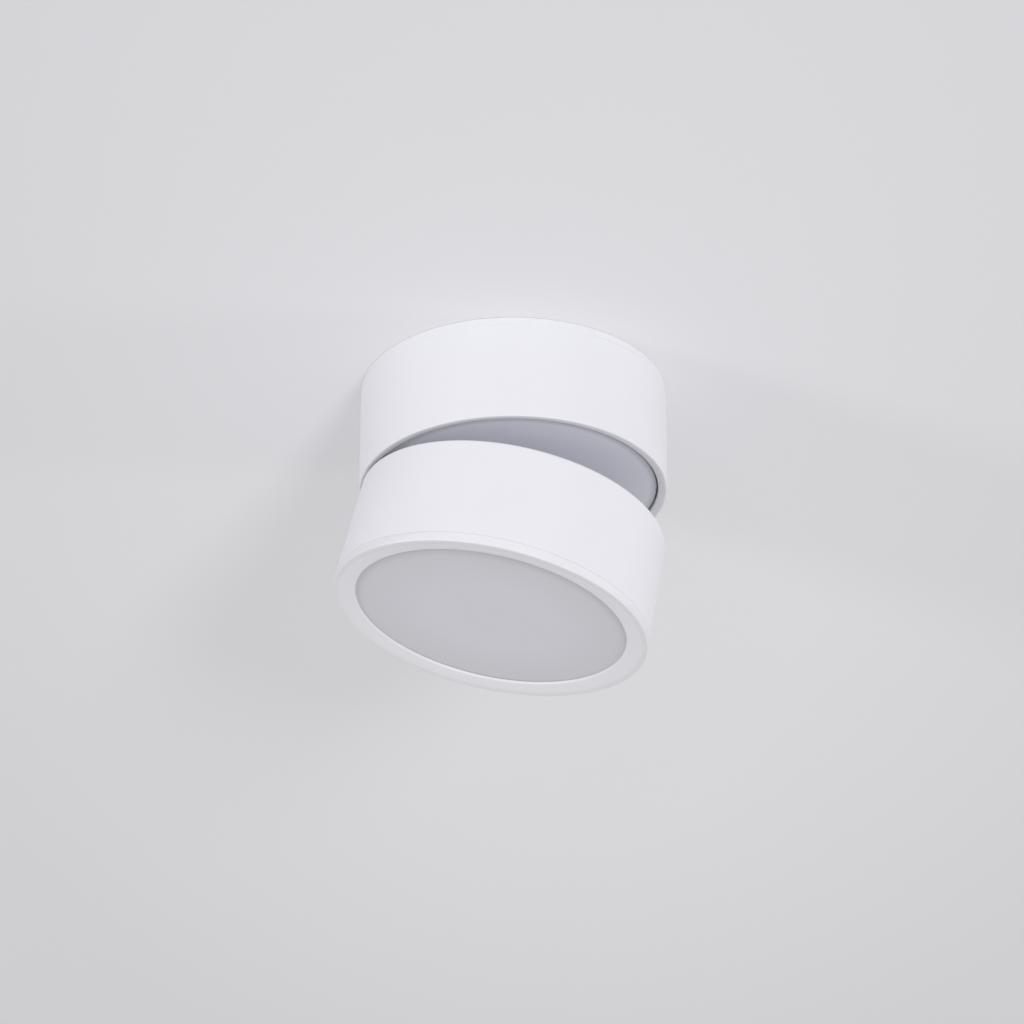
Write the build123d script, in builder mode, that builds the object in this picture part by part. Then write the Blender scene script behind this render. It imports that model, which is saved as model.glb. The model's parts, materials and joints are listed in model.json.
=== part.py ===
from build123d import *
import os
from math import cos, pi, radians, sin, sqrt

# Adjustable ceiling light. A round base sits on the ceiling, a disc turns in the base's underside, and
# a round light head hangs from a hinge at the disc's edge, so that it turns about the vertical and
# folds down from the base. Millimetres, +Z up. The origin is the centre of the face on the ceiling,
# and the hinge is on the -X side.

# Fits
fit_gap = 0.05  # a piece in its seat, and a screw in its hole
pivot_clearance = 0.05  # radial, hinge pin in its bush
bearing_clearance = 0.06  # radial, spindle in the base
swivel_play = 0.1  # axial, turning disc under its washer
cut_past = 2.0  # how far a cut runs past the face that it opens

# Base
base_radius = 60.0
base_height = 43.3
base_wall = 3.0
seam_chamfer = 0.3
rim_width = 3.1
rim_flat = 1.3  # the outer, level part of the rim
rim_dish = 1.0  # how far the rest of it rises to the disc
rim_round = 0.5
rim_gap = 1.1
web_thickness = 3.0
hub_radius = 12.0
hub_height = 2.0
rib_width = 1.8
rib_count = 5
rib_step = 45.0  # degrees, from -X round to +X, clear of the driver

# Ceiling plate
lip_height = 3.2
plate_thickness = 2.2
spigot_wall = 2.5
spigot_depth = 8.0
spigot_gap = 0.2
slot_spacing = 76.0
slot_width = 5.2
slot_length = 14.0
entry_radius = 8.0

# Cable grommet in the plate
grommet_bore = 4.0
grommet_flange = 2.5
grommet_flange_thickness = 1.5
grommet_nozzle = 4.0
grommet_wall = 1.5

# Mains terminals
pole_count = 3
pole_pitch = 10.0
terminal_width = 14.0
terminal_height = 11.0
terminal_margin = 11.3  # from the block to the plate's spigot
terminal_web = 4.0
wire_radius = 2.0
wire_depth = 5.0
clamp_radius = 2.2
clamp_depth = 3.0
clamp_sink = 1.0  # how deep the clamp screws sit in their wells
peg_radius = 1.6
earth_angle = -50.0
earth_circle = 42.0
earth_boss_radius = 4.5
earth_boss_height = 3.0

# LED driver
driver_length = 64.0
driver_width = 24.0
driver_height = 17.4
driver_wall = 1.6
driver_edge_gap = 2.75  # from the case's outer corners to the housing
driver_corner = 2.0
ear_length = 7.0
ear_width = 8.0
ear_thickness = 2.0
board_thickness = 1.6
board_post = 3.0
board_post_radius = 1.6
transformer_length = 18.0
transformer_width = 15.0
transformer_height = 8.5
transformer_chamfer = 1.8
winding_radius = 3.0
capacitor_radius = 4.0
capacitor_height = 8.0
capacitor_pitch = 10.0
capacitor_edge = 0.5
lead_notch = 5.0

# Screws
screw_radius = 1.5
screw_head_radius = 2.7
screw_head_height = 1.8
screw_slot_width = 0.8
screw_slot_depth = 0.9
countersink_angle = 90.0
grub_key = 1.5
arm_key = 2.0

# Turning disc and its spindle
disc_thickness = 3.0
disc_recess = 1.1
disc_edge = 0.4
thrust_thickness = 0.5
thrust_inner = 14.5
thrust_margin = 25.6  # from the washer's edge to the disc's
spindle_radius = 7.0
spindle_bore = 4.6
spindle_flange_radius = 13.0
spindle_flange = 1.5
spindle_flat = 5.8
spindle_end = 1.5
stop_washer_radius = 11.0
stop_washer_thickness = 1.5
stop_tab_lap = 2.0  # how far the tab reaches past the middle of the pin
stop_tab_width = 3.0
stop_pin_radius = 1.5
stop_pin_circle = 15.0
stop_pin_seat = 2.2
spring_radius = 11.0
spring_height = 1.8
spring_thickness = 0.8
nut_across_flats = 19.0
nut_thickness = 4.5
nut_chamfer = 0.6
cable_bush_wall = 0.8
cable_bush_lip = 1.0

# Hinge: the pin's place, and the tilt at rest
pin_inset = 4.0  # from the base's edge to the pin
pin_depth = 6.0  # from the head's rear face to the pin
fold_gap = 0.7  # between base and head when the head is folded flat
rest_tilt = 11.5
pin_radius = 1.5
bush_wall = 0.8
knuckle_wall = 1.5
arm_width = 11.0
foot_length = 18.0
foot_width = 22.0
foot_thickness = 3.0
foot_corner = 3.0
foot_reach = 12.0  # from the pin to the near end of the foot
neck_length = 3.0
foot_screw_pitch_x = 8.0
foot_screw_pitch_y = 14.0
friction_washer = 1.2
friction_washer_radius = 3.6
friction_play = 0.15
slot_clearance = 0.6
foot_swing = 0.5  # more room at the foot's near edge, which swings in on an arc
cheek_thickness = 5.3
block_floor = 2.7
block_screw_pitch = 8.0

# Head
head_height = 45.2
head_flare = 1.8  # how much wider the head is at its front
head_wall = 3.0
head_rear_wall = 3.5
head_round = 1.5
pocket_wall = 2.5
pocket_gap = 0.15
inlet_gap = 5.5  # from the foot's end to the bush
inlet_radius = 5.0
inlet_bore = 3.5
inlet_lip = 1.0
inlet_lip_width = 1.5
bumper_inset = 11.5  # from the head's edge to the bumpers
bumper_angle = 25.0
bumper_radius = 4.0
bumper_height = 1.4
bumper_taper = 15.0
bumper_stem_radius = 1.6

# Heat sink and light engine
sink_thickness = 3.0
sink_edge_gap = 1.5
sink_boss_radius = 4.2
sink_boss_inset = 4.0
sink_boss_count = 4
sink_screw_grip = 5.0
fin_height = 10.0
fin_gap = 1.4
fin_width = 1.6
fin_count = 20
fin_inner = 14.0
fin_margin = 9.0  # from the fins' outer ends to the plate's edge
lead_radius = 4.0
led_board_margin = 9.9  # from the board's edge to the heat sink's
led_board_thickness = 1.6
led_ring_radius = 10.0  # of the innermost ring of chips
led_ring_margin = 12.5  # from the outermost ring to the board's edge
led_ring_count = 3
led_ring_chips = 6  # in the innermost ring, and more by as many in each next ring
chip_length = 3.5
chip_width = 2.8
chip_height = 0.7
connector_length = 7.0
connector_width = 5.0
connector_height = 3.5
connector_circle = 16.0
board_screw_inset = 4.5
board_screw_count = 4

# Reflector, diffuser and bezel
bezel_height = 4.0
bezel_round = 0.5
bezel_flat = 3.3  # the outer, level part of its face
bezel_dish = 0.9  # how far the rest of it sinks to the diffuser's opening
bezel_bevel = 0.4
bezel_width = 7.8  # from the head's front edge to the diffuser that shows
bezel_spigot = 6.0
bezel_spigot_wall = 2.1
bezel_notch = 8.0
bezel_notch_count = 4
spigot_fit = 0.1
diffuser_lap = 1.8  # hidden behind the bezel all round
diffuser_thickness = 2.0
diffuser_recess = 1.85
gasket_width = 1.8
gasket_thickness = 0.8
reflector_wall = 1.6
reflector_foot = 1.2
reflector_flange = 1.0
reflector_gap = 0.5

# Levels of the base and the disc
plate_bottom = -plate_thickness
lip_bottom = -lip_height
rim_bottom = -base_height
rim_inner = base_radius - rim_width
housing_inner = base_radius - base_wall
disc_radius = rim_inner - rim_gap
disc_bottom = rim_bottom + disc_recess
disc_top = disc_bottom + disc_thickness
thrust_outer = disc_radius - thrust_margin
web_bottom = disc_top + swivel_play + thrust_thickness
web_top = web_bottom + web_thickness
hub_top = web_top + hub_height
stop_washer_bottom = hub_top + swivel_play
spring_bottom = stop_washer_bottom + stop_washer_thickness
nut_bottom = spring_bottom + spring_height
nut_top = nut_bottom + nut_thickness
spindle_top = nut_top + spindle_end
stop_tab_radius = stop_pin_circle + stop_tab_lap
spigot_outer = housing_inner - spigot_gap
spigot_inner = spigot_outer - spigot_wall
terminal_offset = spigot_inner - terminal_margin - terminal_width / 2
grub_level = lip_bottom - spigot_depth / 2
driver_reach = housing_inner - driver_edge_gap
driver_offset = sqrt(driver_reach**2 - (driver_length / 2) ** 2) - driver_width / 2

# Hinge sizes
pin_x = pin_inset - base_radius
pin_z = rim_bottom - fold_gap - pin_depth
bush_bore = pin_radius + pivot_clearance
bush_radius = bush_bore + bush_wall
knuckle_radius = bush_radius + knuckle_wall
hinge_slot = arm_width + 2 * (friction_washer + 2 * friction_play)
block_width = hinge_slot + 2 * cheek_thickness
slot_depth = pin_depth + knuckle_radius + slot_clearance
block_depth = slot_depth + block_floor
block_end = pin_x + foot_reach + neck_length + slot_clearance
foot_start = pin_x + foot_reach
foot_end = foot_start + foot_length
foot_middle = (foot_start + foot_end) / 2
foot_bottom = disc_bottom - foot_thickness
foot_pocket = (foot_length + 2 * slot_clearance + foot_swing, foot_width + 2 * slot_clearance)
foot_pocket_x = foot_middle - foot_swing / 2
foot_pocket_depth = foot_thickness - disc_recess - fold_gap + slot_clearance
inlet_x = foot_end + inlet_gap + inlet_lip_width + inlet_radius

# Head sizes, measured down its own axis from its rear face
head_front_radius = base_radius + head_flare
bumper_circle = base_radius - bumper_inset
pocket_depth = block_depth + pocket_gap
pocket_end = block_end + pocket_gap
pocket_floor = pocket_depth + pocket_wall
sink_seat = pocket_floor + fin_gap + fin_height
sink_front = sink_seat + sink_thickness
led_board_front = sink_front + led_board_thickness
diffuser_front = head_height - diffuser_recess
diffuser_back = diffuser_front - diffuser_thickness
gasket_back = diffuser_back - gasket_thickness
shell_depth = head_height - bezel_height
diffuser_window = head_front_radius - bezel_width
diffuser_radius = diffuser_window + diffuser_lap
bezel_pocket = diffuser_radius + spigot_fit


def drum_radius(depth):
    """Outer radius of the head, which widens a little towards its front."""
    return base_radius + head_flare * depth / head_height


bezel_seat = drum_radius(shell_depth) - head_wall
bezel_spigot_outer = bezel_seat - spigot_fit
bezel_spigot_inner = bezel_spigot_outer - bezel_spigot_wall
sink_radius = drum_radius(sink_seat) - head_wall - sink_edge_gap
sink_boss_circle = drum_radius(sink_seat) - head_wall - sink_boss_inset
led_board_radius = sink_radius - led_board_margin
led_ring_pitch = (led_board_radius - led_ring_margin - led_ring_radius) / (led_ring_count - 1)

# The head's rear face at rest: its centre turns about the pin by the rest tilt
tilt = radians(rest_tilt)
rear_x = pin_x * (1 - cos(tilt)) + pin_depth * sin(tilt)
rear_z = pin_z + pin_x * sin(tilt) + pin_depth * cos(tilt)
head = Plane(origin=(rear_x, 0, rear_z), x_dir=(cos(tilt), 0, -sin(tilt)), z_dir=(sin(tilt), 0, cos(tilt)))
head_section = Plane(origin=head.origin, x_dir=head.x_dir, z_dir=-head.y_dir)
head_axis = Axis(head.origin, head.z_dir)


def at_depth(depth):
    """Plane across the head at a depth below its rear face."""
    return head.offset(-depth)


def drum_section(depth):
    """Half section of the whole head down to a depth, with its rear edge rounded."""
    Polygon((0, 0), (base_radius, 0), (drum_radius(depth), -depth), (0, -depth), align=None)
    fillet(vertices().sort_by(Axis.Y)[-2:].sort_by(Axis.X)[-1], head_round)


def write(node, name):
    """Label a finished piece and write it to its own file."""
    node.part.label = name
    export_step(node.part, f"parts/{name}.step")


def pan_screw(length):
    """Slotted pan head screw along -Z, with its head above the origin."""
    with BuildPart() as screw:
        Cylinder(screw_head_radius, screw_head_height, align=(Align.CENTER, Align.CENTER, Align.MIN))
        fillet(screw.edges().sort_by(Axis.Z)[-1], screw_head_height / 2)
        Cylinder(screw_radius, length, align=(Align.CENTER, Align.CENTER, Align.MAX))
        with Locations((0, 0, screw_head_height)):
            slot_size = (2 * screw_head_radius, screw_slot_width, screw_slot_depth)
            Box(*slot_size, align=(Align.CENTER, Align.CENTER, Align.MAX), mode=Mode.SUBTRACT)
    return screw.part


os.makedirs("parts", exist_ok=True)

# Ceiling plate: the lip that shows, a thinner web, and the spigot inside the housing
with BuildPart() as ceiling_plate:
    with BuildSketch(Plane.XZ):
        spigot_end = lip_bottom - spigot_depth
        plate_points = [(0, 0), (base_radius, 0), (base_radius, lip_bottom + seam_chamfer)]
        plate_points += [(base_radius - seam_chamfer, lip_bottom), (spigot_outer, lip_bottom)]
        plate_points += [(spigot_outer, spigot_end), (spigot_inner, spigot_end)]
        plate_points += [(spigot_inner, plate_bottom), (0, plate_bottom)]
        Polygon(*plate_points, align=None)
    revolve(axis=Axis.Z)
    with BuildSketch(Plane.XY.offset(plate_bottom)):
        with PolarLocations(earth_circle, 1, start_angle=earth_angle):
            Circle(earth_boss_radius)
    extrude(amount=-earth_boss_height)
    with BuildSketch(Plane.XY):
        Circle(entry_radius)
        with GridLocations(slot_spacing, 0, 2, 1):
            SlotOverall(slot_length, slot_width)
        with Locations((0, -terminal_offset)):
            with GridLocations(pole_pitch, 0, pole_count - 1, 1):
                Circle(peg_radius + fit_gap)
        with PolarLocations(earth_circle, 1, start_angle=earth_angle):
            Circle(screw_radius + fit_gap)
    extrude(amount=-(plate_thickness + earth_boss_height), mode=Mode.SUBTRACT)
    with BuildSketch(Plane.YZ):
        with Locations((0, grub_level)):
            Circle(screw_radius + fit_gap)
    extrude(amount=base_radius, both=True, mode=Mode.SUBTRACT)
write(ceiling_plate, "ceiling_plate")

# Rubber grommet, pushed up into the cable entry
with BuildPart() as cable_grommet:
    with BuildSketch(Plane.XZ):
        neck = entry_radius - fit_gap
        flange = entry_radius + grommet_flange
        flange_bottom = plate_bottom - grommet_flange_thickness
        nozzle_bottom = flange_bottom - grommet_nozzle
        grommet_points = [(grommet_bore, 0), (neck, 0), (neck, plate_bottom)]
        grommet_points += [(flange, plate_bottom), (flange, flange_bottom), (neck, flange_bottom)]
        grommet_points += [(grommet_bore + grommet_wall, nozzle_bottom), (grommet_bore, nozzle_bottom)]
        Polygon(*grommet_points, align=None)
    revolve(axis=Axis.Z)
write(cable_grommet, "cable_grommet")

# Terminal block: one body with wire funnels at both sides, screw wells below and pegs into the plate
terminal_bottom = plate_bottom - terminal_height
terminal_middle = plate_bottom - terminal_height / 2
with BuildPart() as terminal_block:
    with BuildSketch(Plane.XY.offset(plate_bottom)):
        with Locations((0, -terminal_offset)):
            with GridLocations(pole_pitch, 0, pole_count, 1):
                Rectangle(pole_pitch - 2 * fit_gap, terminal_width)
    extrude(amount=-terminal_height)
    with BuildSketch(Plane.XY.offset(plate_bottom)):
        with Locations((0, -terminal_offset)):
            Rectangle(pole_pitch * pole_count - 2 * fit_gap, terminal_width - 2 * wire_radius)
    extrude(amount=-terminal_web)
    for side in (-1, 1):
        with BuildSketch(Plane.XZ.offset(terminal_offset + side * terminal_width / 2)):
            with Locations((0, terminal_middle)):
                with GridLocations(pole_pitch, 0, pole_count, 1):
                    Circle(wire_radius)
        extrude(amount=-side * wire_depth, mode=Mode.SUBTRACT)
    with BuildSketch(Plane.XY.offset(terminal_bottom)):
        with Locations((0, -terminal_offset)):
            with GridLocations(pole_pitch, 0, pole_count, 1):
                Circle(clamp_radius)
    extrude(amount=clamp_depth, mode=Mode.SUBTRACT)
    with BuildSketch(Plane.XY.offset(plate_bottom)):
        with Locations((0, -terminal_offset)):
            with GridLocations(pole_pitch, 0, pole_count - 1, 1):
                Circle(peg_radius)
    extrude(amount=plate_thickness - fit_gap)
write(terminal_block, "terminal_block")

# Clamp screws in the terminal block's wells, each with a driver slot
with BuildPart() as terminal_screws:
    with BuildSketch(Plane.XY.offset(terminal_bottom + clamp_depth)):
        with Locations((0, -terminal_offset)):
            with GridLocations(pole_pitch, 0, pole_count, 1):
                Circle(clamp_radius - fit_gap)
    extrude(amount=clamp_sink - clamp_depth)
    with BuildSketch(Plane.XY.offset(terminal_bottom + clamp_sink)):
        with Locations((0, -terminal_offset)):
            with GridLocations(pole_pitch, 0, pole_count, 1):
                Rectangle(2 * clamp_radius, screw_slot_width)
    extrude(amount=screw_slot_depth, mode=Mode.SUBTRACT)
write(terminal_screws, "terminal_screws")

# Earth terminal under the plate: its head hangs below the boss
earth_level = plate_bottom - earth_boss_height
earth_plane = Plane(origin=(0, 0, earth_level), x_dir=(1, 0, 0), z_dir=(0, 0, -1))
with BuildPart(earth_plane) as earth_screw:
    with PolarLocations(earth_circle, 1, start_angle=-earth_angle):
        add(pan_screw(earth_boss_height + plate_thickness - fit_gap))
write(earth_screw, "earth_screw")

# Base housing: a cup with the bearing web inside, and the rim around the turning disc
with BuildPart() as base_housing:
    with BuildSketch(Plane.XZ):
        housing_points = [(0, lip_bottom), (base_radius, lip_bottom)]
        housing_points += [(base_radius, rim_bottom), (base_radius - rim_flat, rim_bottom)]
        housing_points += [(rim_inner, rim_bottom + rim_dish), (0, rim_bottom + rim_dish)]
        Polygon(*housing_points, align=None)
        outer_corners = vertices().sort_by(Axis.X)[-2:].sort_by(Axis.Y)
        fillet(outer_corners[0], rim_round)
        chamfer(outer_corners[1], seam_chamfer)
    revolve(axis=Axis.Z)
    with BuildSketch(Plane.XY.offset(web_top)):
        Circle(housing_inner)
    extrude(amount=lip_bottom - web_top, mode=Mode.SUBTRACT)
    with BuildSketch(Plane.XY.offset(web_bottom)):
        Circle(rim_inner)
    extrude(amount=rim_bottom - web_bottom, mode=Mode.SUBTRACT)
    with BuildSketch(Plane.XY.offset(web_top)):
        Circle(hub_radius)
        for rib in range(rib_count):
            with Locations(Location((0, 0), 180 + rib * rib_step)):
                Rectangle(housing_inner, rib_width, align=(Align.MIN, Align.CENTER))
    extrude(amount=hub_height)
    with BuildSketch(Plane.XY.offset(hub_top)):
        Circle(spindle_radius + bearing_clearance)
    extrude(amount=web_bottom - hub_top, mode=Mode.SUBTRACT)
    with BuildSketch(Plane.XY.offset(hub_top)):
        with Locations((-stop_pin_circle, 0)):
            Circle(stop_pin_radius + fit_gap)
    extrude(amount=-(hub_height + stop_pin_seat), mode=Mode.SUBTRACT)
    with BuildSketch(Plane.XY.offset(web_top)):
        with Locations((0, driver_offset)):
            with GridLocations(driver_length + ear_length, 0, 2, 1):
                Circle(screw_radius + fit_gap)
    extrude(amount=-web_thickness, mode=Mode.SUBTRACT)
    with BuildSketch(Plane.YZ):
        with Locations((0, grub_level)):
            Circle(screw_radius + fit_gap)
    extrude(amount=base_radius + cut_past, both=True, mode=Mode.SUBTRACT)
write(base_housing, "base_housing")

# Grub screws through the housing into the plate's spigot, with a hexagon socket at the outside
with BuildPart() as housing_screws:
    for side in (-1, 1):
        inner_end = Plane.YZ.offset(side * spigot_inner)
        outer_end = Plane.YZ.offset(side * (base_radius - seam_chamfer))
        with BuildSketch(inner_end):
            with Locations((0, grub_level)):
                Circle(screw_radius)
        extrude(amount=side * (base_radius - seam_chamfer - spigot_inner))
        with BuildSketch(outer_end):
            with Locations((0, grub_level)):
                RegularPolygon(grub_key / 2, 6, major_radius=False)
        extrude(amount=-side * grub_key, mode=Mode.SUBTRACT)
write(housing_screws, "housing_screws")

# LED driver case on the web: an open box with posts for its board, lead notches and screw ears
driver_floor = web_top + driver_wall
driver_top = web_top + driver_height
driver_inside = (driver_length - 2 * driver_wall, driver_width - 2 * driver_wall)
post_pitch = (driver_inside[0] - 4 * board_post_radius, driver_inside[1] - 4 * board_post_radius)
with BuildPart() as driver_case:
    with BuildSketch(Plane.XY.offset(web_top)):
        with Locations((0, driver_offset)):
            RectangleRounded(driver_length, driver_width, driver_corner)
    extrude(amount=driver_height)
    with BuildSketch(Plane.XY.offset(driver_floor)):
        with Locations((0, driver_offset)):
            Rectangle(*driver_inside)
    extrude(amount=driver_height, mode=Mode.SUBTRACT)
    with BuildSketch(Plane.XY.offset(driver_floor)):
        with Locations((0, driver_offset)):
            with GridLocations(*post_pitch, 2, 2):
                Circle(board_post_radius)
    extrude(amount=board_post)
    with BuildSketch(Plane.XY.offset(web_top)):
        with Locations((0, driver_offset)):
            with GridLocations(driver_length + ear_length, 0, 2, 1):
                Rectangle(ear_length, ear_width)
    extrude(amount=ear_thickness)
    with BuildSketch(Plane.XY.offset(web_top)):
        with Locations((0, driver_offset)):
            with GridLocations(driver_length + ear_length, 0, 2, 1):
                Circle(screw_radius + fit_gap)
    extrude(amount=ear_thickness, mode=Mode.SUBTRACT)
    with BuildSketch(Plane.XY.offset(driver_top)):
        with Locations((0, driver_offset)):
            Rectangle(driver_length + cut_past, lead_notch)
    extrude(amount=-lead_notch, mode=Mode.SUBTRACT)
write(driver_case, "driver_case")

# Driver lid: a plate with a plug that drops inside the case's walls
with BuildPart() as driver_lid:
    with BuildSketch(Plane.XY.offset(driver_top)):
        with Locations((0, driver_offset)):
            RectangleRounded(driver_length, driver_width, driver_corner)
    extrude(amount=driver_wall)
    with BuildSketch(Plane.XY.offset(driver_top)):
        with Locations((0, driver_offset)):
            Rectangle(driver_inside[0] - 2 * fit_gap, driver_inside[1] - 2 * fit_gap)
    extrude(amount=-driver_wall)
write(driver_lid, "driver_lid")

# Driver board on the posts, with its transformer and capacitors
driver_board_bottom = driver_floor + board_post
driver_board_top = driver_board_bottom + board_thickness
with BuildPart() as driver_board:
    with BuildSketch(Plane.XY.offset(driver_board_bottom)):
        with Locations((0, driver_offset)):
            Rectangle(driver_inside[0] - 4 * fit_gap, driver_inside[1] - 4 * fit_gap)
    extrude(amount=board_thickness)
write(driver_board, "driver_board")

with BuildPart() as driver_transformer:
    with BuildSketch(Plane.XY.offset(driver_board_top)):
        with Locations((-driver_length / 6, driver_offset)):
            Rectangle(transformer_length, transformer_width)
    extrude(amount=transformer_height)
    chamfer(driver_transformer.edges().filter_by(Axis.Z), transformer_chamfer)
    with BuildSketch(Plane.XY.offset(driver_board_top)):
        with Locations((-driver_length / 6, driver_offset)):
            with GridLocations(transformer_length, 0, 2, 1):
                Circle(winding_radius)
    extrude(amount=transformer_height, mode=Mode.SUBTRACT)
write(driver_transformer, "driver_transformer")

with BuildPart() as driver_capacitors:
    with BuildSketch(Plane.XY.offset(driver_board_top)):
        with Locations((driver_length / 4, driver_offset)):
            with GridLocations(capacitor_pitch, 0, 2, 1):
                Circle(capacitor_radius)
    extrude(amount=capacitor_height)
    fillet(driver_capacitors.edges().group_by(Axis.Z)[-1], capacitor_edge)
write(driver_capacitors, "driver_capacitors")

with BuildPart(Plane.XY.offset(web_top + ear_thickness)) as driver_screws:
    with Locations((0, driver_offset)):
        with GridLocations(driver_length + ear_length, 0, 2, 1):
            add(pan_screw(ear_thickness + web_thickness))
write(driver_screws, "driver_screws")

# Thrust washer under the web
with BuildPart() as thrust_washer:
    with BuildSketch(Plane.XY.offset(web_bottom)):
        Circle(thrust_outer)
        Circle(thrust_inner, mode=Mode.SUBTRACT)
    extrude(amount=-thrust_thickness)
write(thrust_washer, "thrust_washer")

# Stop pin in the web, in the way of the stop washer's tab
with BuildPart() as stop_pin:
    with BuildSketch(Plane.XY.offset(web_top - stop_pin_seat)):
        with Locations((-stop_pin_circle, 0)):
            Circle(stop_pin_radius)
    extrude(amount=spring_bottom - web_top + stop_pin_seat)
    chamfer(stop_pin.edges().sort_by(Axis.Z)[-1], seam_chamfer)
write(stop_pin, "stop_pin")

# Turning disc that closes the base
with BuildPart() as swivel_disc:
    with BuildSketch(Plane.XY.offset(disc_bottom)):
        Circle(disc_radius)
        Circle(spindle_radius + fit_gap, mode=Mode.SUBTRACT)
    extrude(amount=disc_thickness)
    chamfer(swivel_disc.edges().filter_by(GeomType.CIRCLE).sort_by(SortBy.RADIUS)[-2:], disc_edge)
    with BuildSketch(Plane.XY.offset(disc_bottom)):
        Circle(spindle_flange_radius + fit_gap)
    extrude(amount=spindle_flange, mode=Mode.SUBTRACT)
    with BuildSketch(Plane.XY.offset(disc_bottom)):
        with Locations((foot_middle, 0)):
            with GridLocations(foot_screw_pitch_x, foot_screw_pitch_y, 2, 2):
                Circle(screw_radius + fit_gap)
    extrude(amount=disc_thickness, mode=Mode.SUBTRACT)
write(swivel_disc, "swivel_disc")

# Hollow spindle, flush under the disc, with two flats above the bearing
with BuildPart() as spindle:
    with BuildSketch(Plane.XZ):
        spindle_points = [(spindle_bore, disc_bottom), (spindle_flange_radius, disc_bottom)]
        spindle_points += [(spindle_flange_radius, disc_bottom + spindle_flange)]
        spindle_points += [(spindle_radius, disc_bottom + spindle_flange), (spindle_radius, spindle_top)]
        spindle_points += [(spindle_bore, spindle_top)]
        Polygon(*spindle_points, align=None)
    revolve(axis=Axis.Z)
    with BuildSketch(Plane.XY.offset(stop_washer_bottom)):
        Circle(spindle_radius)
        Rectangle(2 * spindle_radius, 2 * spindle_flat, mode=Mode.SUBTRACT)
    extrude(amount=spindle_top - stop_washer_bottom, mode=Mode.SUBTRACT)
write(spindle, "spindle")

# Plastic bush that lines the spindle for the lead
with BuildPart() as cable_bush:
    with BuildSketch(Plane.XZ):
        bush_outer = spindle_bore - fit_gap
        bush_inner = bush_outer - cable_bush_wall
        bush_top = spindle_top + cable_bush_lip
        bush_points = [(bush_inner, disc_bottom), (bush_outer, disc_bottom), (bush_outer, spindle_top)]
        bush_points += [(spindle_flat, spindle_top), (spindle_flat, bush_top), (bush_inner, bush_top)]
        Polygon(*bush_points, align=None)
    revolve(axis=Axis.Z)
write(cable_bush, "cable_bush")

# Stop washer, keyed to the spindle's flats, with the tab that meets the stop pin
with BuildPart() as stop_washer:
    with BuildSketch(Plane.XY.offset(stop_washer_bottom)):
        Circle(stop_washer_radius)
        Rectangle(stop_tab_radius, stop_tab_width, align=(Align.MIN, Align.CENTER))
        with BuildSketch(mode=Mode.SUBTRACT):
            Circle(spindle_radius + fit_gap)
            Rectangle(3 * spindle_radius, 2 * (spindle_flat + fit_gap), mode=Mode.INTERSECT)
    extrude(amount=stop_washer_thickness)
write(stop_washer, "stop_washer")

# Disc spring between washer and nut
with BuildPart() as disc_spring:
    with BuildSketch(Plane.XZ):
        spring_inner = spindle_radius + fit_gap
        spring_rise = spring_height - spring_thickness
        spring_points = [(spring_radius, spring_bottom), (spring_radius, spring_bottom + spring_thickness)]
        spring_points += [(spring_inner, spring_bottom + spring_height)]
        spring_points += [(spring_inner, spring_bottom + spring_rise)]
        Polygon(*spring_points, align=None)
    revolve(axis=Axis.Z)
write(disc_spring, "disc_spring")

# Thin hexagon nut on the spindle, with its corners turned down
with BuildPart() as spindle_nut:
    with BuildSketch(Plane.XY.offset(nut_bottom)):
        RegularPolygon(nut_across_flats / 2, 6, major_radius=False)
        Circle(spindle_radius + fit_gap, mode=Mode.SUBTRACT)
    extrude(amount=nut_thickness)
    with BuildSketch(Plane.XZ):
        nut_corner = nut_across_flats / 2 / cos(pi / 6)
        nut_shoulder = nut_corner - 2 * nut_chamfer
        nut_points = [(0, nut_bottom), (nut_shoulder, nut_bottom), (nut_corner, nut_bottom + nut_chamfer)]
        nut_points += [(nut_corner, nut_top - nut_chamfer), (nut_shoulder, nut_top), (0, nut_top)]
        Polygon(*nut_points, align=None)
    revolve(axis=Axis.Z, mode=Mode.INTERSECT)
write(spindle_nut, "spindle_nut")

# Hinge arm: a foot under the disc, and a neck that runs out to the knuckle round the pin
with BuildPart() as hinge_arm:
    with BuildSketch(Plane.XY.offset(foot_bottom)):
        with Locations((foot_middle, 0)):
            RectangleRounded(foot_length, foot_width, foot_corner)
    extrude(amount=foot_thickness)
    with BuildSketch(Plane.XZ):
        with Locations((pin_x, pin_z)):
            Circle(knuckle_radius)
        with Locations((foot_start, foot_bottom)):
            Rectangle(neck_length, foot_thickness, align=(Align.MIN, Align.MIN))
        make_hull()
    extrude(amount=arm_width / 2, both=True)
    with BuildSketch(Plane.XZ):
        with Locations((pin_x, pin_z)):
            Circle(bush_radius + fit_gap)
    extrude(amount=arm_width / 2, both=True, mode=Mode.SUBTRACT)
    with BuildSketch(Plane.XY.offset(foot_bottom)):
        with Locations((foot_middle, 0)):
            with GridLocations(foot_screw_pitch_x, foot_screw_pitch_y, 2, 2):
                Circle(screw_radius + fit_gap)
    extrude(amount=foot_thickness, mode=Mode.SUBTRACT)
    with BuildSketch(Plane.XY.offset(foot_bottom)):
        with Locations((foot_middle, 0)):
            with GridLocations(foot_screw_pitch_x, foot_screw_pitch_y, 2, 2):
                Circle(screw_head_radius + fit_gap)
    extrude(amount=screw_head_radius - screw_radius, taper=countersink_angle / 2, mode=Mode.SUBTRACT)
write(hinge_arm, "hinge_arm")

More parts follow.
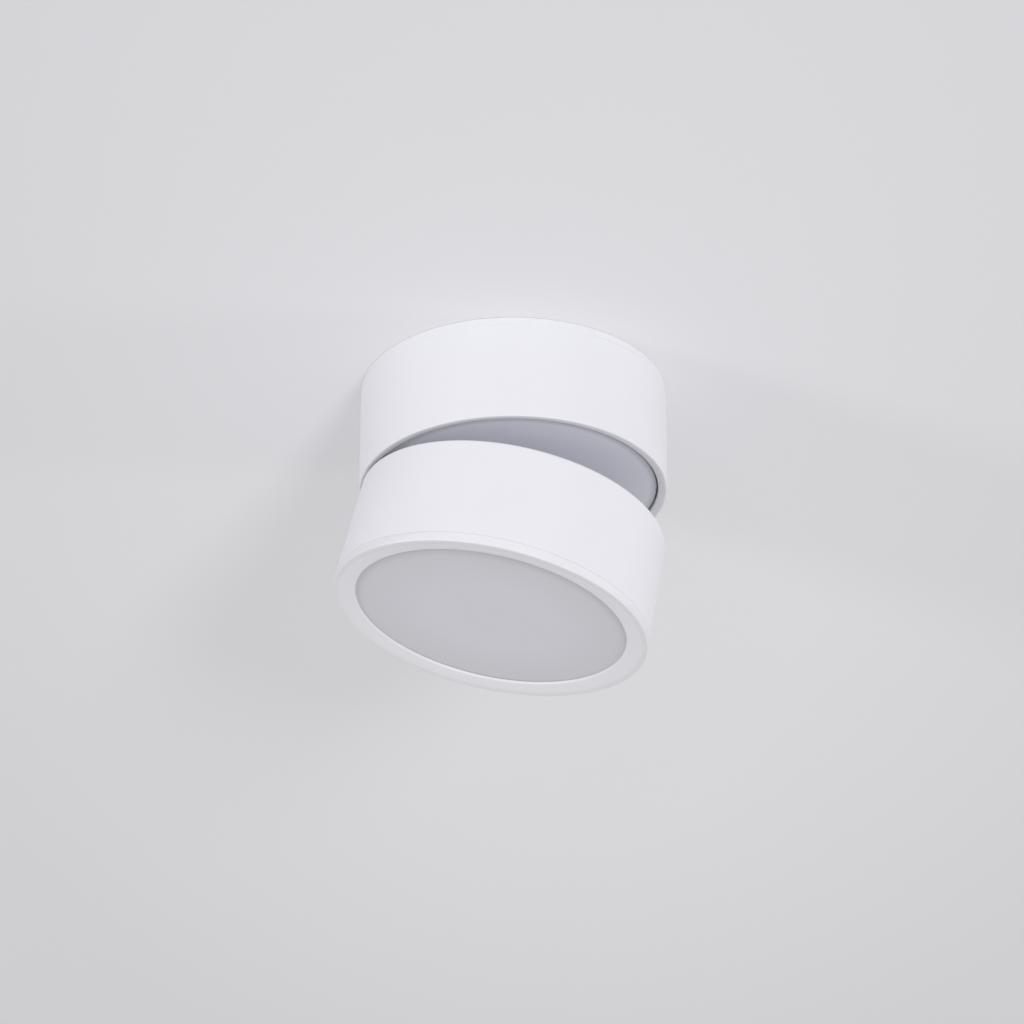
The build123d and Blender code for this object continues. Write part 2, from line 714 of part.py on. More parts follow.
# Countersunk screws that hold the foot to the disc, flush below
with BuildPart() as arm_screws:
    with BuildSketch(Plane.XY.offset(foot_bottom)):
        with Locations((foot_middle, 0)):
            with GridLocations(foot_screw_pitch_x, foot_screw_pitch_y, 2, 2):
                Circle(screw_head_radius)
    extrude(amount=screw_head_radius - screw_radius, taper=countersink_angle / 2)
    with BuildSketch(Plane.XY.offset(foot_bottom)):
        with Locations((foot_middle, 0)):
            with GridLocations(foot_screw_pitch_x, foot_screw_pitch_y, 2, 2):
                Circle(screw_radius)
    extrude(amount=foot_thickness + disc_thickness - disc_edge)
    with BuildSketch(Plane.XY.offset(foot_bottom)):
        with Locations((foot_middle, 0)):
            with GridLocations(foot_screw_pitch_x, foot_screw_pitch_y, 2, 2):
                RegularPolygon(arm_key / 2, 6, major_radius=False)
    extrude(amount=arm_key / 2, mode=Mode.SUBTRACT)
write(arm_screws, "arm_screws")

# Bearing bush in the knuckle
with BuildPart() as arm_bush:
    with BuildSketch(Plane.XZ):
        with Locations((pin_x, pin_z)):
            Circle(bush_radius)
            Circle(bush_bore, mode=Mode.SUBTRACT)
    extrude(amount=arm_width / 2, both=True)
write(arm_bush, "arm_bush")

# Head housing: a cast drum, closed at the rear, with the hinge pocket, bosses and inlet
with BuildPart() as head_hollow:
    with BuildSketch(head_section):
        hollow_points = [(0, -head_rear_wall), (drum_radius(head_rear_wall) - head_wall, -head_rear_wall)]
        hollow_points += [(bezel_seat, -shell_depth), (0, -shell_depth)]
        Polygon(*hollow_points, align=None)
    revolve(axis=head_axis)
    with BuildSketch(at_depth(0)):
        with Locations((pocket_end + pocket_wall, 0)):
            pocket_outer = block_width + 2 * (pocket_gap + pocket_wall)
            Rectangle(2 * base_radius, pocket_outer, align=(Align.MAX, Align.CENTER))
    extrude(amount=-pocket_floor, mode=Mode.SUBTRACT)

with BuildPart() as head_housing:
    with BuildSketch(head_section):
        drum_section(shell_depth)
    revolve(axis=head_axis)
    add(head_hollow.part, mode=Mode.SUBTRACT)
    with BuildSketch(at_depth(head_rear_wall)):
        with PolarLocations(sink_boss_circle, sink_boss_count, start_angle=180 / sink_boss_count):
            Circle(sink_boss_radius)
    extrude(amount=head_rear_wall - sink_seat)
    with BuildSketch(at_depth(sink_seat)):
        with PolarLocations(sink_boss_circle, sink_boss_count, start_angle=180 / sink_boss_count):
            Circle(screw_radius + fit_gap)
    extrude(amount=sink_seat - pocket_floor, mode=Mode.SUBTRACT)
    with BuildSketch(at_depth(shell_depth)):
        Circle(bezel_seat)
    extrude(amount=bezel_spigot + fit_gap, mode=Mode.SUBTRACT)
    with BuildSketch(at_depth(0)):
        with Locations((pocket_end, 0)):
            Rectangle(2 * base_radius, block_width + 2 * pocket_gap, align=(Align.MAX, Align.CENTER))
    extrude(amount=-pocket_depth, mode=Mode.SUBTRACT)
    with BuildSketch(at_depth(0)):
        with Locations((foot_pocket_x, 0)):
            Rectangle(*foot_pocket)
    extrude(amount=-foot_pocket_depth, mode=Mode.SUBTRACT)
    with BuildSketch(at_depth(0)):
        with Locations((inlet_x, 0)):
            Circle(inlet_radius)
        with PolarLocations(bumper_circle, 2, -bumper_angle, 2 * bumper_angle, endpoint=True):
            Circle(bumper_stem_radius + fit_gap)
    extrude(amount=-head_rear_wall, mode=Mode.SUBTRACT)
    with BuildSketch(at_depth(pocket_floor)):
        with Locations(((pin_x + block_end) / 2, 0)):
            with GridLocations(0, block_screw_pitch, 1, 2):
                Circle(screw_radius + fit_gap)
    extrude(amount=pocket_wall, mode=Mode.SUBTRACT)
write(head_housing, "head_housing")

# Hinge block: two cheeks and a floor in the drum's pocket, with its outside flush with the drum
with BuildPart() as hinge_block:
    with BuildSketch(head_section):
        drum_section(block_depth)
    revolve(axis=head_axis)
    with BuildSketch(at_depth(0)):
        with Locations((block_end, 0)):
            Rectangle(2 * base_radius, block_width, align=(Align.MAX, Align.CENTER))
    extrude(amount=-block_depth, mode=Mode.INTERSECT)
    with BuildSketch(at_depth(0)):
        with Locations((block_end, 0)):
            Rectangle(2 * base_radius, hinge_slot, align=(Align.MAX, Align.CENTER))
    extrude(amount=-slot_depth, mode=Mode.SUBTRACT)
    with BuildSketch(at_depth(0)):
        with Locations((foot_pocket_x, 0)):
            Rectangle(*foot_pocket)
    extrude(amount=-foot_pocket_depth, mode=Mode.SUBTRACT)
    with BuildSketch(head_section):
        with Locations((pin_x, -pin_depth)):
            Circle(pin_radius + fit_gap)
    extrude(amount=block_width / 2, both=True, mode=Mode.SUBTRACT)
    with BuildSketch(at_depth(block_depth)):
        with Locations(((pin_x + block_end) / 2, 0)):
            with GridLocations(0, block_screw_pitch, 1, 2):
                Circle(screw_radius + fit_gap)
    extrude(amount=block_floor, mode=Mode.SUBTRACT)
write(hinge_block, "hinge_block")

# Screws up through the pocket's floor into the hinge block
block_screw_plane = Plane(origin=at_depth(pocket_floor).origin, x_dir=head.x_dir, z_dir=-head.z_dir)
with BuildPart(block_screw_plane) as block_screws:
    with Locations(((pin_x + block_end) / 2, 0)):
        with GridLocations(0, block_screw_pitch, 1, 2):
            add(pan_screw(pocket_wall + pocket_gap + block_floor))
write(block_screws, "block_screws")

# Hinge pin, held at its ends by the pocket's walls
with BuildPart() as hinge_pin:
    with BuildSketch(Plane.XZ):
        with Locations((pin_x, pin_z)):
            Circle(pin_radius)
    extrude(amount=block_width / 2, both=True)
write(hinge_pin, "hinge_pin")

# Friction washers on the pin, one at each side of the knuckle
with BuildPart() as friction_washers:
    for side in (-1, 1):
        with BuildSketch(Plane.XZ.offset(side * (arm_width / 2 + friction_play))):
            with Locations((pin_x, pin_z)):
                Circle(friction_washer_radius)
                Circle(pin_radius + fit_gap, mode=Mode.SUBTRACT)
        extrude(amount=side * friction_washer)
write(friction_washers, "friction_washers")

# Rubber bush where the lead enters the head
with BuildPart() as inlet_bush:
    with BuildSketch(at_depth(0)):
        with Locations((inlet_x, 0)):
            Circle(inlet_radius + inlet_lip_width)
    extrude(amount=inlet_lip)
    with BuildSketch(at_depth(0)):
        with Locations((inlet_x, 0)):
            Circle(inlet_radius - fit_gap)
    extrude(amount=-head_rear_wall)
    with BuildSketch(at_depth(head_rear_wall)):
        with Locations((inlet_x, 0)):
            Circle(inlet_radius + inlet_lip_width)
    extrude(amount=-inlet_lip)
    with BuildSketch(at_depth(-inlet_lip)):
        with Locations((inlet_x, 0)):
            Circle(inlet_bore)
    extrude(amount=-(head_rear_wall + 2 * inlet_lip), mode=Mode.SUBTRACT)
write(inlet_bush, "inlet_bush")

# Rubber bumpers that meet the disc when the head is folded flat
with BuildPart() as bumpers:
    with BuildSketch(at_depth(0)):
        with PolarLocations(bumper_circle, 2, -bumper_angle, 2 * bumper_angle, endpoint=True):
            Circle(bumper_radius)
    extrude(amount=bumper_height, taper=bumper_taper)
    with BuildSketch(at_depth(0)):
        with PolarLocations(bumper_circle, 2, -bumper_angle, 2 * bumper_angle, endpoint=True):
            Circle(bumper_stem_radius)
    extrude(amount=-head_rear_wall)
write(bumpers, "bumpers")

# Heat sink: a plate on the drum's bosses, with radial fins towards the rear
with BuildPart() as heat_sink:
    with BuildSketch(at_depth(sink_seat)):
        Circle(sink_radius)
    extrude(amount=-sink_thickness)
    with BuildSketch(at_depth(sink_seat)):
        fin_length = sink_radius - fin_margin - fin_inner
        with PolarLocations(fin_inner + fin_length / 2, fin_count):
            Rectangle(fin_length, fin_width)
    extrude(amount=fin_height)
    with BuildSketch(at_depth(sink_front)):
        Circle(lead_radius)
        with PolarLocations(sink_boss_circle, sink_boss_count, start_angle=180 / sink_boss_count):
            Circle(screw_radius + fit_gap)
        with PolarLocations(led_board_radius - board_screw_inset, board_screw_count):
            Circle(screw_radius + fit_gap)
    extrude(amount=sink_thickness, mode=Mode.SUBTRACT)
write(heat_sink, "heat_sink")

# Screws are driven from the front, so their heads point along the head's -Z
front_screw_plane = Plane(origin=at_depth(sink_front).origin, x_dir=head.x_dir, z_dir=-head.z_dir)
with BuildPart(front_screw_plane) as heat_sink_screws:
    with PolarLocations(sink_boss_circle, sink_boss_count, start_angle=180 / sink_boss_count):
        add(pan_screw(sink_thickness + sink_screw_grip))
write(heat_sink_screws, "heat_sink_screws")

# Light engine: the board, its chips in rings, the lead's connector and the screws
with BuildPart() as led_board:
    with BuildSketch(at_depth(sink_front)):
        Circle(led_board_radius)
        Circle(lead_radius, mode=Mode.SUBTRACT)
        with PolarLocations(led_board_radius - board_screw_inset, board_screw_count):
            Circle(screw_radius + fit_gap, mode=Mode.SUBTRACT)
    extrude(amount=-led_board_thickness)
write(led_board, "led_board")

with BuildPart() as led_chips:
    with BuildSketch(at_depth(led_board_front)):
        for ring in range(led_ring_count):
            ring_radius = led_ring_radius + ring * led_ring_pitch
            ring_chips = led_ring_chips * (ring + 1)
            with PolarLocations(ring_radius, ring_chips, start_angle=180 / ring_chips):
                Rectangle(chip_length, chip_width)
    extrude(amount=-chip_height)
write(led_chips, "led_chips")

with BuildPart() as led_connector:
    with BuildSketch(at_depth(led_board_front)):
        with PolarLocations(connector_circle, 1):
            Rectangle(connector_width, connector_length)
    extrude(amount=-connector_height)
    with BuildSketch(at_depth(led_board_front + connector_height / 2)):
        with PolarLocations(connector_circle - connector_width / 2, 1):
            with GridLocations(0, connector_length / 2, 1, 2):
                Rectangle(connector_width, connector_length / 4)
    extrude(amount=connector_height / 4, mode=Mode.SUBTRACT)
write(led_connector, "led_connector")

board_screw_plane = Plane(origin=at_depth(led_board_front).origin, x_dir=head.x_dir, z_dir=-head.z_dir)
with BuildPart(board_screw_plane) as board_screws:
    with PolarLocations(led_board_radius - board_screw_inset, board_screw_count):
        add(pan_screw(led_board_thickness + sink_thickness))
write(board_screws, "board_screws")

# Reflector: a white cone from the plate round the board to a flange behind the diffuser
with BuildPart() as reflector:
    with BuildSketch(head_section):
        cone_inner = led_board_radius + reflector_gap
        cone_outer = cone_inner + reflector_wall
        flange_outer = diffuser_radius - spigot_fit
        flange_inner = diffuser_radius - diffuser_lap
        flange_back = gasket_back - reflector_flange
        cone_points = [(cone_inner, -sink_front), (cone_outer, -sink_front)]
        cone_points += [(cone_outer, -sink_front - reflector_foot)]
        cone_points += [(flange_inner + reflector_foot, -flange_back), (flange_outer, -flange_back)]
        cone_points += [(flange_outer, -gasket_back), (flange_inner, -gasket_back)]
        cone_points += [(cone_inner, -led_board_front - reflector_foot)]
        Polygon(*cone_points, align=None)
    revolve(axis=head_axis)
write(reflector, "reflector")

# Silicone gasket between the reflector's flange and the diffuser
with BuildPart() as gasket:
    with BuildSketch(at_depth(gasket_back)):
        Circle(diffuser_radius - spigot_fit)
        Circle(diffuser_radius - spigot_fit - gasket_width, mode=Mode.SUBTRACT)
    extrude(amount=-gasket_thickness)
write(gasket, "gasket")

# Frosted diffuser
with BuildPart() as diffuser:
    with BuildSketch(at_depth(diffuser_back)):
        Circle(diffuser_radius)
    extrude(amount=-diffuser_thickness)
write(diffuser, "diffuser")

# Bezel: the ring that shows at the front, with a notched spigot pressed into the drum
with BuildPart() as bezel:
    with BuildSketch(head_section):
        front_outer = drum_radius(head_height)
        bezel_points = [(bezel_spigot_inner, -shell_depth), (bezel_spigot_inner, bezel_spigot - shell_depth)]
        bezel_points += [(bezel_spigot_outer, bezel_spigot - shell_depth)]
        bezel_points += [(bezel_spigot_outer, -shell_depth)]
        bezel_points += [(drum_radius(shell_depth) - seam_chamfer, -shell_depth)]
        bezel_points += [(drum_radius(shell_depth), -shell_depth - seam_chamfer)]
        bezel_points += [(front_outer, -head_height), (front_outer - bezel_flat, -head_height)]
        bezel_points += [(diffuser_window + bezel_bevel, bezel_dish - head_height)]
        bezel_points += [(diffuser_window, -diffuser_front), (bezel_pocket, -diffuser_front)]
        bezel_points += [(bezel_pocket, -shell_depth)]
        Polygon(*bezel_points, align=None)
        fillet(vertices().sort_by(Axis.X)[-1], bezel_round)
    revolve(axis=head_axis)
    with BuildSketch(at_depth(shell_depth)):
        with PolarLocations(bezel_spigot_outer, bezel_notch_count, start_angle=180 / bezel_notch_count):
            Rectangle(4 * bezel_spigot_wall, bezel_notch)
    extrude(amount=bezel_spigot, mode=Mode.SUBTRACT)
write(bezel, "bezel")
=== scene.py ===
import json
import logging
from abc import ABC, abstractmethod
from collections.abc import Callable, Iterator, Sequence
from contextlib import contextmanager
from dataclasses import dataclass
from enum import Enum
from math import cos, pi, radians, sin, tan
from typing import Any

import bpy
from mathutils import Matrix, Vector


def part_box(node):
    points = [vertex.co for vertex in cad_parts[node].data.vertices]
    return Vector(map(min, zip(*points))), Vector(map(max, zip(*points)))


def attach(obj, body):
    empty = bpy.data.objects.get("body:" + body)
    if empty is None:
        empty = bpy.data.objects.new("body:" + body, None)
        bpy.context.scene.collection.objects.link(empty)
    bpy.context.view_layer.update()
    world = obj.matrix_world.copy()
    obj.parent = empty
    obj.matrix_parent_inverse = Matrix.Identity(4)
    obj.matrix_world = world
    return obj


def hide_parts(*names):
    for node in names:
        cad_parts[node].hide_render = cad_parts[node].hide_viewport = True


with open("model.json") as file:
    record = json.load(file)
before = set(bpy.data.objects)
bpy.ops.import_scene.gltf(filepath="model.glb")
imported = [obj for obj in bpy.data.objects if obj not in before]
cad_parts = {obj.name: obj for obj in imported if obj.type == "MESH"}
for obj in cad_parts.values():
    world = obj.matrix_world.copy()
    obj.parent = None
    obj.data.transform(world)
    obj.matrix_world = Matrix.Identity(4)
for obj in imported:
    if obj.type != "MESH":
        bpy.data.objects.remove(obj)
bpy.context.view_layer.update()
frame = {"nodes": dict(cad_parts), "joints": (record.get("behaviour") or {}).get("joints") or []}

# Looks of an adjustable ceiling light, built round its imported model. Lengths are metres in the part's
# frame: +Z is up into the ceiling, the swivel axis is Z, and the hinge pin lies along Y on the -X side.

MM = 0.001
TURN_STEPS = 192
ARC_STEPS = 6
ROD_SIDES = 48
SLOT_SIDES = 46  # leaves no corner on a slot's middle line
KEY_SIDES = 6
WELD = 0.001 * MM  # points closer than this become one
PAST = 2.0 * MM  # how far a tool reaches past what it cuts
SMOOTH_ANGLE = radians(35)
SOFT_ANGLE = radians(50)

Triple = tuple[float, float, float]
Colour = Triple
Span = tuple[float, float]
Piece = bpy.types.Object
Socket = bpy.types.NodeSocket

log = logging.getLogger("ceiling_light")


class Body(Enum):
    """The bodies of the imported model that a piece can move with."""

    BASE = "base"
    SWIVEL = "swivel"
    HEAD = "head"


class Part(Enum):
    """The parts of a mesh that can be selected."""

    VERTEX = "VERT"
    EDGE = "EDGE"
    FACE = "FACE"


class Join(Enum):
    """The ways in which one solid acts on another."""

    TAKE = "DIFFERENCE"
    ADD = "UNION"
    KEEP = "INTERSECT"


# Node materials


class NodeSheet:
    """The nodes of a finish or of the room, with short calls that add and join them."""

    MIX_A, MIX_B, MIX_RESULT = 6, 7, 2  # the colour sockets of a Mix node

    def __init__(self, tree: bpy.types.NodeTree, shader: str) -> None:
        """Start from the tree's own shader and object coordinates.

        Args:
            tree: The tree that holds the nodes.
            shader: Name of the shader that shows the result.
        """
        self.tree = tree
        self.shader = tree.nodes[shader]
        self.place = self.add("ShaderNodeTexCoord").outputs["Object"]

    def feed(self, socket: Socket, value: object) -> None:
        """Link an output to a socket, or set the socket to a plain value.

        Args:
            socket: The input to feed.
            value: Another node's output, a number or a tuple.
        """
        if isinstance(value, bpy.types.NodeSocket):
            self.tree.links.new(value, socket)
        else:
            socket.default_value = value

    def add(self, kind: str, *values: object, operation: str = "", **inputs: object) -> bpy.types.Node:
        """Add a node and feed its sockets.

        Args:
            kind: The node's type.
            values: Values or outputs for its first sockets, in their order.
            operation: What the node works out, if it has a choice.
            inputs: Values or outputs by socket name, with underscores for spaces.

        Returns:
            The new node.
        """
        node = self.tree.nodes.new(kind)
        if operation:
            node.operation = operation
        for socket, value in zip(node.inputs, values):
            self.feed(socket, value)
        for name, value in inputs.items():
            self.feed(node.inputs[name.replace("_", " ")], value)
        return node

    def noise(self, size: float, detail: float = 2.0, place: Socket | None = None) -> Socket:
        """Cloudy noise from 0 to 1, with features of a size in metres and a number of finer octaves."""
        spot = place or self.place
        return self.add("ShaderNodeTexNoise", Vector=spot, Scale=1 / size, Detail=detail).outputs[0]

    def stretched(self, scale: Triple) -> Socket:
        """Object coordinates scaled by a factor along X, Y and Z."""
        return self.add("ShaderNodeMapping", Vector=self.place, Scale=scale).outputs[0]

    def from_axis(self, centre: Vector, tilt: float = 0.0, depth_share: float = 1.0) -> Socket:
        """Distance from an axis that runs along Z, or is tilted about Y.

        Args:
            centre: A point on the axis.
            tilt: Its tilt in radians.
            depth_share: How much the distance along Y counts.

        Returns:
            The distance in metres.
        """
        moved = self.add("ShaderNodeVectorMath", self.place, centre, operation="SUBTRACT")
        flat = {"Rotation": (0.0, -tilt, 0.0), "Scale": (1.0, depth_share, 0.0)}
        level = self.add("ShaderNodeMapping", Vector=moved.outputs[0], **flat)
        reach = self.add("ShaderNodeVectorMath", level.outputs[0], operation="LENGTH")
        return reach.outputs["Value"]

    def remap(self, value: Socket, low: float, high: float, start: float = 0.3, end: float = 0.7) -> Socket:
        """Spread a value so that its start becomes low and its end high, and hold it between them."""
        span = {"From_Min": start, "From_Max": end, "To_Min": low, "To_Max": high}
        return self.add("ShaderNodeMapRange", Value=value, **span).outputs[0]

    def ramp(self, value: Socket, *span: float) -> Socket:
        """A share that rises from 0 to 1 where a value goes through a span."""
        return self.remap(value, 0.0, 1.0, *span)

    def blend(self, share: Socket, first: Colour | Socket, second: Colour | Socket) -> Socket:
        """Mix two colours.

        Args:
            share: 0 for the first colour and 1 for the second.
            first: A colour or an output.
            second: A colour or an output.

        Returns:
            The mixed colour.
        """
        node = self.add("ShaderNodeMix", share)
        node.data_type = "RGBA"
        for index, colour in ((self.MIX_A, first), (self.MIX_B, second)):
            plain = isinstance(colour, tuple)
            self.feed(node.inputs[index], (*colour, 1.0) if plain else colour)
        return node.outputs[self.MIX_RESULT]

    def relief(self, height: Socket, depth: float, strength: float) -> None:
        """Raise the surface by a height pattern.

        Args:
            height: Pattern from 0 to 1.
            depth: Its height in metres.
            strength: Share of the relief that shows.
        """
        below = self.shader.inputs["Normal"].links
        bump = self.add("ShaderNodeBump", Height=height, Distance=depth, Strength=strength)
        if below:
            self.feed(bump.inputs["Normal"], below[0].from_socket)
        self.feed(self.shader.inputs["Normal"], bump.outputs[0])

    def set(self, **inputs: object) -> None:
        """Feed the shader's own sockets by name, with underscores for spaces."""
        for socket, value in inputs.items():
            self.feed(self.shader.inputs[socket.replace("_", " ")], value)


@dataclass(frozen=True)
class Finish(ABC):
    """A surface finish, with the record's slot that it stands for."""

    name: str
    slot: str

    def material(self) -> bpy.types.Material:
        """Make the finish's material, or find it where it was made before.

        Returns:
            The material.
        """
        made = bpy.data.materials.get(self.name)
        if made is None:
            made = bpy.data.materials.new(self.name)
            made.use_nodes = True
            self.paint(NodeSheet(made.node_tree, "Principled BSDF"))
        return made

    @abstractmethod
    def paint(self, sheet: NodeSheet) -> None:
        """Add the finish's nodes to an empty sheet."""


@dataclass(frozen=True)
class Grained(Finish):
    """A finish with a fine grain, whose colour drifts in patches."""

    colour: Colour = (0.80, 0.80, 0.78)
    shade: Colour = (0.76, 0.76, 0.74)
    gloss: Span = (0.42, 0.56)
    grain_size: float = 0.35 * MM
    grain_depth: float = 0.012 * MM
    grain_detail: float = 2.0
    grain_stretch: Triple = (1.0, 1.0, 1.0)
    patch_size: float = 9 * MM
    patch_detail: float = 4.0
    patch_span: Span = (0.3, 0.7)
    metallic: float = 0.0
    refraction: float = 1.5
    strength: float = 0.6

    def paint(self, sheet: NodeSheet) -> None:
        """Let the colour drift, and grain the gloss and the surface.

        Args:
            sheet: The sheet that takes the nodes.
        """
        patches = sheet.ramp(sheet.noise(self.patch_size, self.patch_detail), *self.patch_span)
        grain = sheet.noise(self.grain_size, self.grain_detail, sheet.stretched(self.grain_stretch))
        sheet.set(Base_Color=sheet.blend(patches, self.colour, self.shade), Metallic=self.metallic)
        sheet.set(Roughness=sheet.remap(grain, *self.gloss), IOR=self.refraction)
        sheet.relief(grain, self.grain_depth, self.strength)


@dataclass(frozen=True)
class Moulding(Grained):
    """Moulded or pressed material, such as plastic, rubber or ferrite, with an even grain."""


@dataclass(frozen=True)
class BareMetal(Grained):
    """Bare or plated metal with the marks of the tool that made it."""

    colour: Colour = (0.62, 0.63, 0.65)
    shade: Colour = (0.54, 0.55, 0.57)
    gloss: Span = (0.24, 0.40)
    grain_size: float = 0.5 * MM
    grain_depth: float = 0.006 * MM
    grain_detail: float = 3.0
    grain_stretch: Triple = (0.12, 0.12, 1.0)
    patch_size: float = 6 * MM
    patch_detail: float = 3.0
    metallic: float = 1.0
    strength: float = 0.5


@dataclass(frozen=True)
class PowderCoat(Grained):
    """Baked satin powder coat with a faint orange peel."""

    colour: Colour = (0.86, 0.855, 0.89)
    shade: Colour = (0.835, 0.83, 0.868)
    gloss: Span = (0.44, 0.54)
    grain_size: float = 0.22 * MM
    grain_depth: float = 0.004 * MM
    grain_detail: float = 1.0
    patch_size: float = 22 * MM
    patch_detail: float = 3.0
    patch_span: Span = (0.0, 1.0)
    strength: float = 0.5
    peel_size: float = 1.3 * MM
    peel_depth: float = 0.02 * MM

    def paint(self, sheet: NodeSheet) -> None:
        """Raise the peel, and the finer grain over it."""
        sheet.relief(sheet.noise(self.peel_size), self.peel_depth, self.strength)
        super().paint(sheet)


@dataclass(frozen=True, kw_only=True)
class BandedCoat(PowderCoat):
    """Powder coat on a round piece, with a band of painted shade round the piece's axis."""

    band: Colour
    fade_in: Span
    fade_out: Span | None = None
    centre: Vector
    tilt: float = 0.0

    def paint(self, sheet: NodeSheet) -> None:
        """Coat the piece, and lay the band of painted shade over the coat by the distance from the axis.

        Args:
            sheet: The sheet that takes the nodes.
        """
        super().paint(sheet)
        clean = sheet.shader.inputs["Base Color"].links[0].from_socket
        reach = sheet.from_axis(self.centre, self.tilt)
        banded = sheet.blend(sheet.ramp(reach, *self.fade_in), clean, self.band)
        if self.fade_out:
            banded = sheet.blend(sheet.ramp(reach, *self.fade_out), banded, clean)
        sheet.set(Base_Color=banded)


@dataclass(frozen=True)
class FrostedSheet(Finish):
    """Opal sheet with a fine frosted grain, with painted shade that darkens it towards its edge, in a band
    along its border and in a dark line where it meets the ring.
    """

    centre: Vector
    tilt: float
    radius: float
    colour: Colour = (0.718, 0.711, 0.764)
    # Painted shade: the edge, border and seam colours below darken the sheet where the ring's recess shades
    # it.
    edge: Colour = (0.65, 0.655, 0.692)
    edge_start: float = 0.5
    border_shade: Colour = (0.584, 0.589, 0.622)
    border_width: float = 4.5 * MM
    border_shift: float = 2.5 * MM
    seam_shade: Colour = (0.4, 0.403, 0.428)
    seam_shade_width: float = 1.4 * MM
    cloud_size: float = 30 * MM
    cloud_share: float = 0.12
    gloss: Span = (0.52, 0.66)
    refraction: float = 1.49
    grain_size: float = 0.16 * MM
    grain_depth: float = 0.006 * MM
    strength: float = 0.6

    def paint(self, sheet: NodeSheet) -> None:
        """Paint shade on the sheet by the distance from its own axis, and frost it.

        Args:
            sheet: The sheet that takes the nodes.
        """
        reach = sheet.from_axis(self.centre, self.tilt)
        # Painted shade, darkening the sheet from half its radius out to the window's edge.
        rim = sheet.ramp(reach, self.edge_start * self.radius, self.radius)
        plain = sheet.blend(rim, self.colour, self.edge)
        cloud = sheet.remap(sheet.noise(self.cloud_size), 0.0, self.cloud_share)
        clouded = sheet.blend(cloud, plain, self.edge)
        # Painted shade of the ring's recess, a band at the border whose axis is shifted along +Y so the
        # band is wider on the -Y side.
        shifted = sheet.from_axis(self.centre + Vector((0, self.border_shift, 0)), self.tilt)
        shade = sheet.ramp(shifted, self.radius - self.border_width, self.radius)
        shaded = sheet.blend(shade, clouded, self.border_shade)
        # Painted shade: a dark line along the window's edge, where the sheet meets the ring.
        line = sheet.ramp(reach, self.radius - self.seam_shade_width, self.radius)
        sheet.set(Base_Color=sheet.blend(line, shaded, self.seam_shade))
        grain = sheet.noise(self.grain_size)
        sheet.set(Roughness=sheet.remap(grain, *self.gloss), IOR=self.refraction)
        sheet.relief(grain, self.grain_depth, self.strength)


@dataclass(frozen=True)
class CircuitBoard(Finish):
    """Board with a solder mask over copper tracks."""

    mask: Colour = (0.05, 0.24, 0.11)
    track: Colour = (0.09, 0.34, 0.16)
    track_pitch: float = 4 * MM
    track_share: float = 0.06
    track_depth: float = 0.035 * MM
    track_strength: float = 0.5
    weave_size: float = 0.4 * MM
    weave_depth: float = 0.004 * MM
    weave_strength: float = 0.4
    gloss: Span = (0.28, 0.40)
    refraction: float = 1.55

    def paint(self, sheet: NodeSheet) -> None:
        """Lay the tracks as the joints of a brick pattern, raised under the mask.

        Args:
            sheet: The sheet that takes the nodes.
        """
        joints = {"Scale": 1 / self.track_pitch, "Mortar_Size": self.track_share}
        tracks = sheet.add("ShaderNodeTexBrick", Vector=sheet.place, **joints).outputs["Fac"]
        weave = sheet.noise(self.weave_size)
        sheet.set(Base_Color=sheet.blend(tracks, self.mask, self.track))
        sheet.set(Roughness=sheet.remap(weave, *self.gloss), IOR=self.refraction)
        sheet.relief(tracks, self.track_depth, self.track_strength)
        sheet.relief(weave, self.weave_depth, self.weave_strength)


WHITE_COAT = PowderCoat("satin_white_coat", "white_coat")
ZINC_STEEL = BareMetal("zinc_plated_steel", "steel")
TURNED_BRASS = BareMetal(
    "turned_brass", "brass", (0.74, 0.56, 0.27), (0.62, 0.45, 0.2), gloss=(0.22, 0.36)
)
PRESSED_ALUMINIUM = BareMetal(
    "pressed_aluminium", "bare_aluminium", (0.78, 0.79, 0.80), (0.7, 0.71, 0.72), gloss=(0.32, 0.5)
)
WHITE_PLASTIC = Moulding("white_plastic_moulding", "white_plastic", (0.84, 0.84, 0.82), (0.8, 0.8, 0.77))
DRIVER_PLASTIC = Moulding("driver_case_plastic", "driver_plastic", (0.78, 0.78, 0.76), (0.73, 0.73, 0.71))
NATURAL_NYLON = Moulding(
    "natural_nylon", "nylon", (0.84, 0.82, 0.75), (0.8, 0.77, 0.68), gloss=(0.34, 0.46)
)
BLACK_RUBBER = Moulding(
    "black_rubber_moulding", "black_rubber", (0.03, 0.03, 0.032), (0.05, 0.05, 0.05), gloss=(0.62, 0.8)
)
MILKY_SILICONE = Moulding(
    "milky_silicone", "silicone", (0.78, 0.78, 0.76), (0.72, 0.72, 0.70), gloss=(0.5, 0.62)
)
CHIP_FRAME = Moulding(
    "chip_frame_plastic", "white_plastic", (0.86, 0.86, 0.85), (0.82, 0.82, 0.81), gloss=(0.4, 0.5)
)
PHOSPHOR = Moulding(
    "chip_phosphor", "led_phosphor", (0.86, 0.68, 0.16), (0.82, 0.6, 0.12),
    gloss=(0.3, 0.4), grain_size=0.2 * MM
)
BLACK_FERRITE = Moulding(
    "sintered_ferrite", "ferrite", (0.06, 0.06, 0.065), (0.1, 0.1, 0.1), gloss=(0.55, 0.7)
)
SLEEVE_FILM = Moulding(
    "capacitor_film", "capacitor_sleeve", (0.03, 0.035, 0.07), (0.04, 0.045, 0.09), gloss=(0.18, 0.28)
)
GREEN_BOARD = CircuitBoard("green_solder_mask", "green_board")
WHITE_BOARD = CircuitBoard(
    "white_solder_mask", "white_board", (0.84, 0.84, 0.83), (0.79, 0.79, 0.77), track_pitch=6 * MM
)


# Modelling with operators


def select_only(piece: Piece) -> None:
    """Select one object, make it active and leave edit mode.

    Args:
        piece: The object to select.
    """
    if bpy.context.object is not None and bpy.context.object.mode != "OBJECT":
        bpy.ops.object.mode_set(mode="OBJECT")
    bpy.ops.object.select_all(action="DESELECT")
    piece.select_set(True)
    bpy.context.view_layer.objects.active = piece


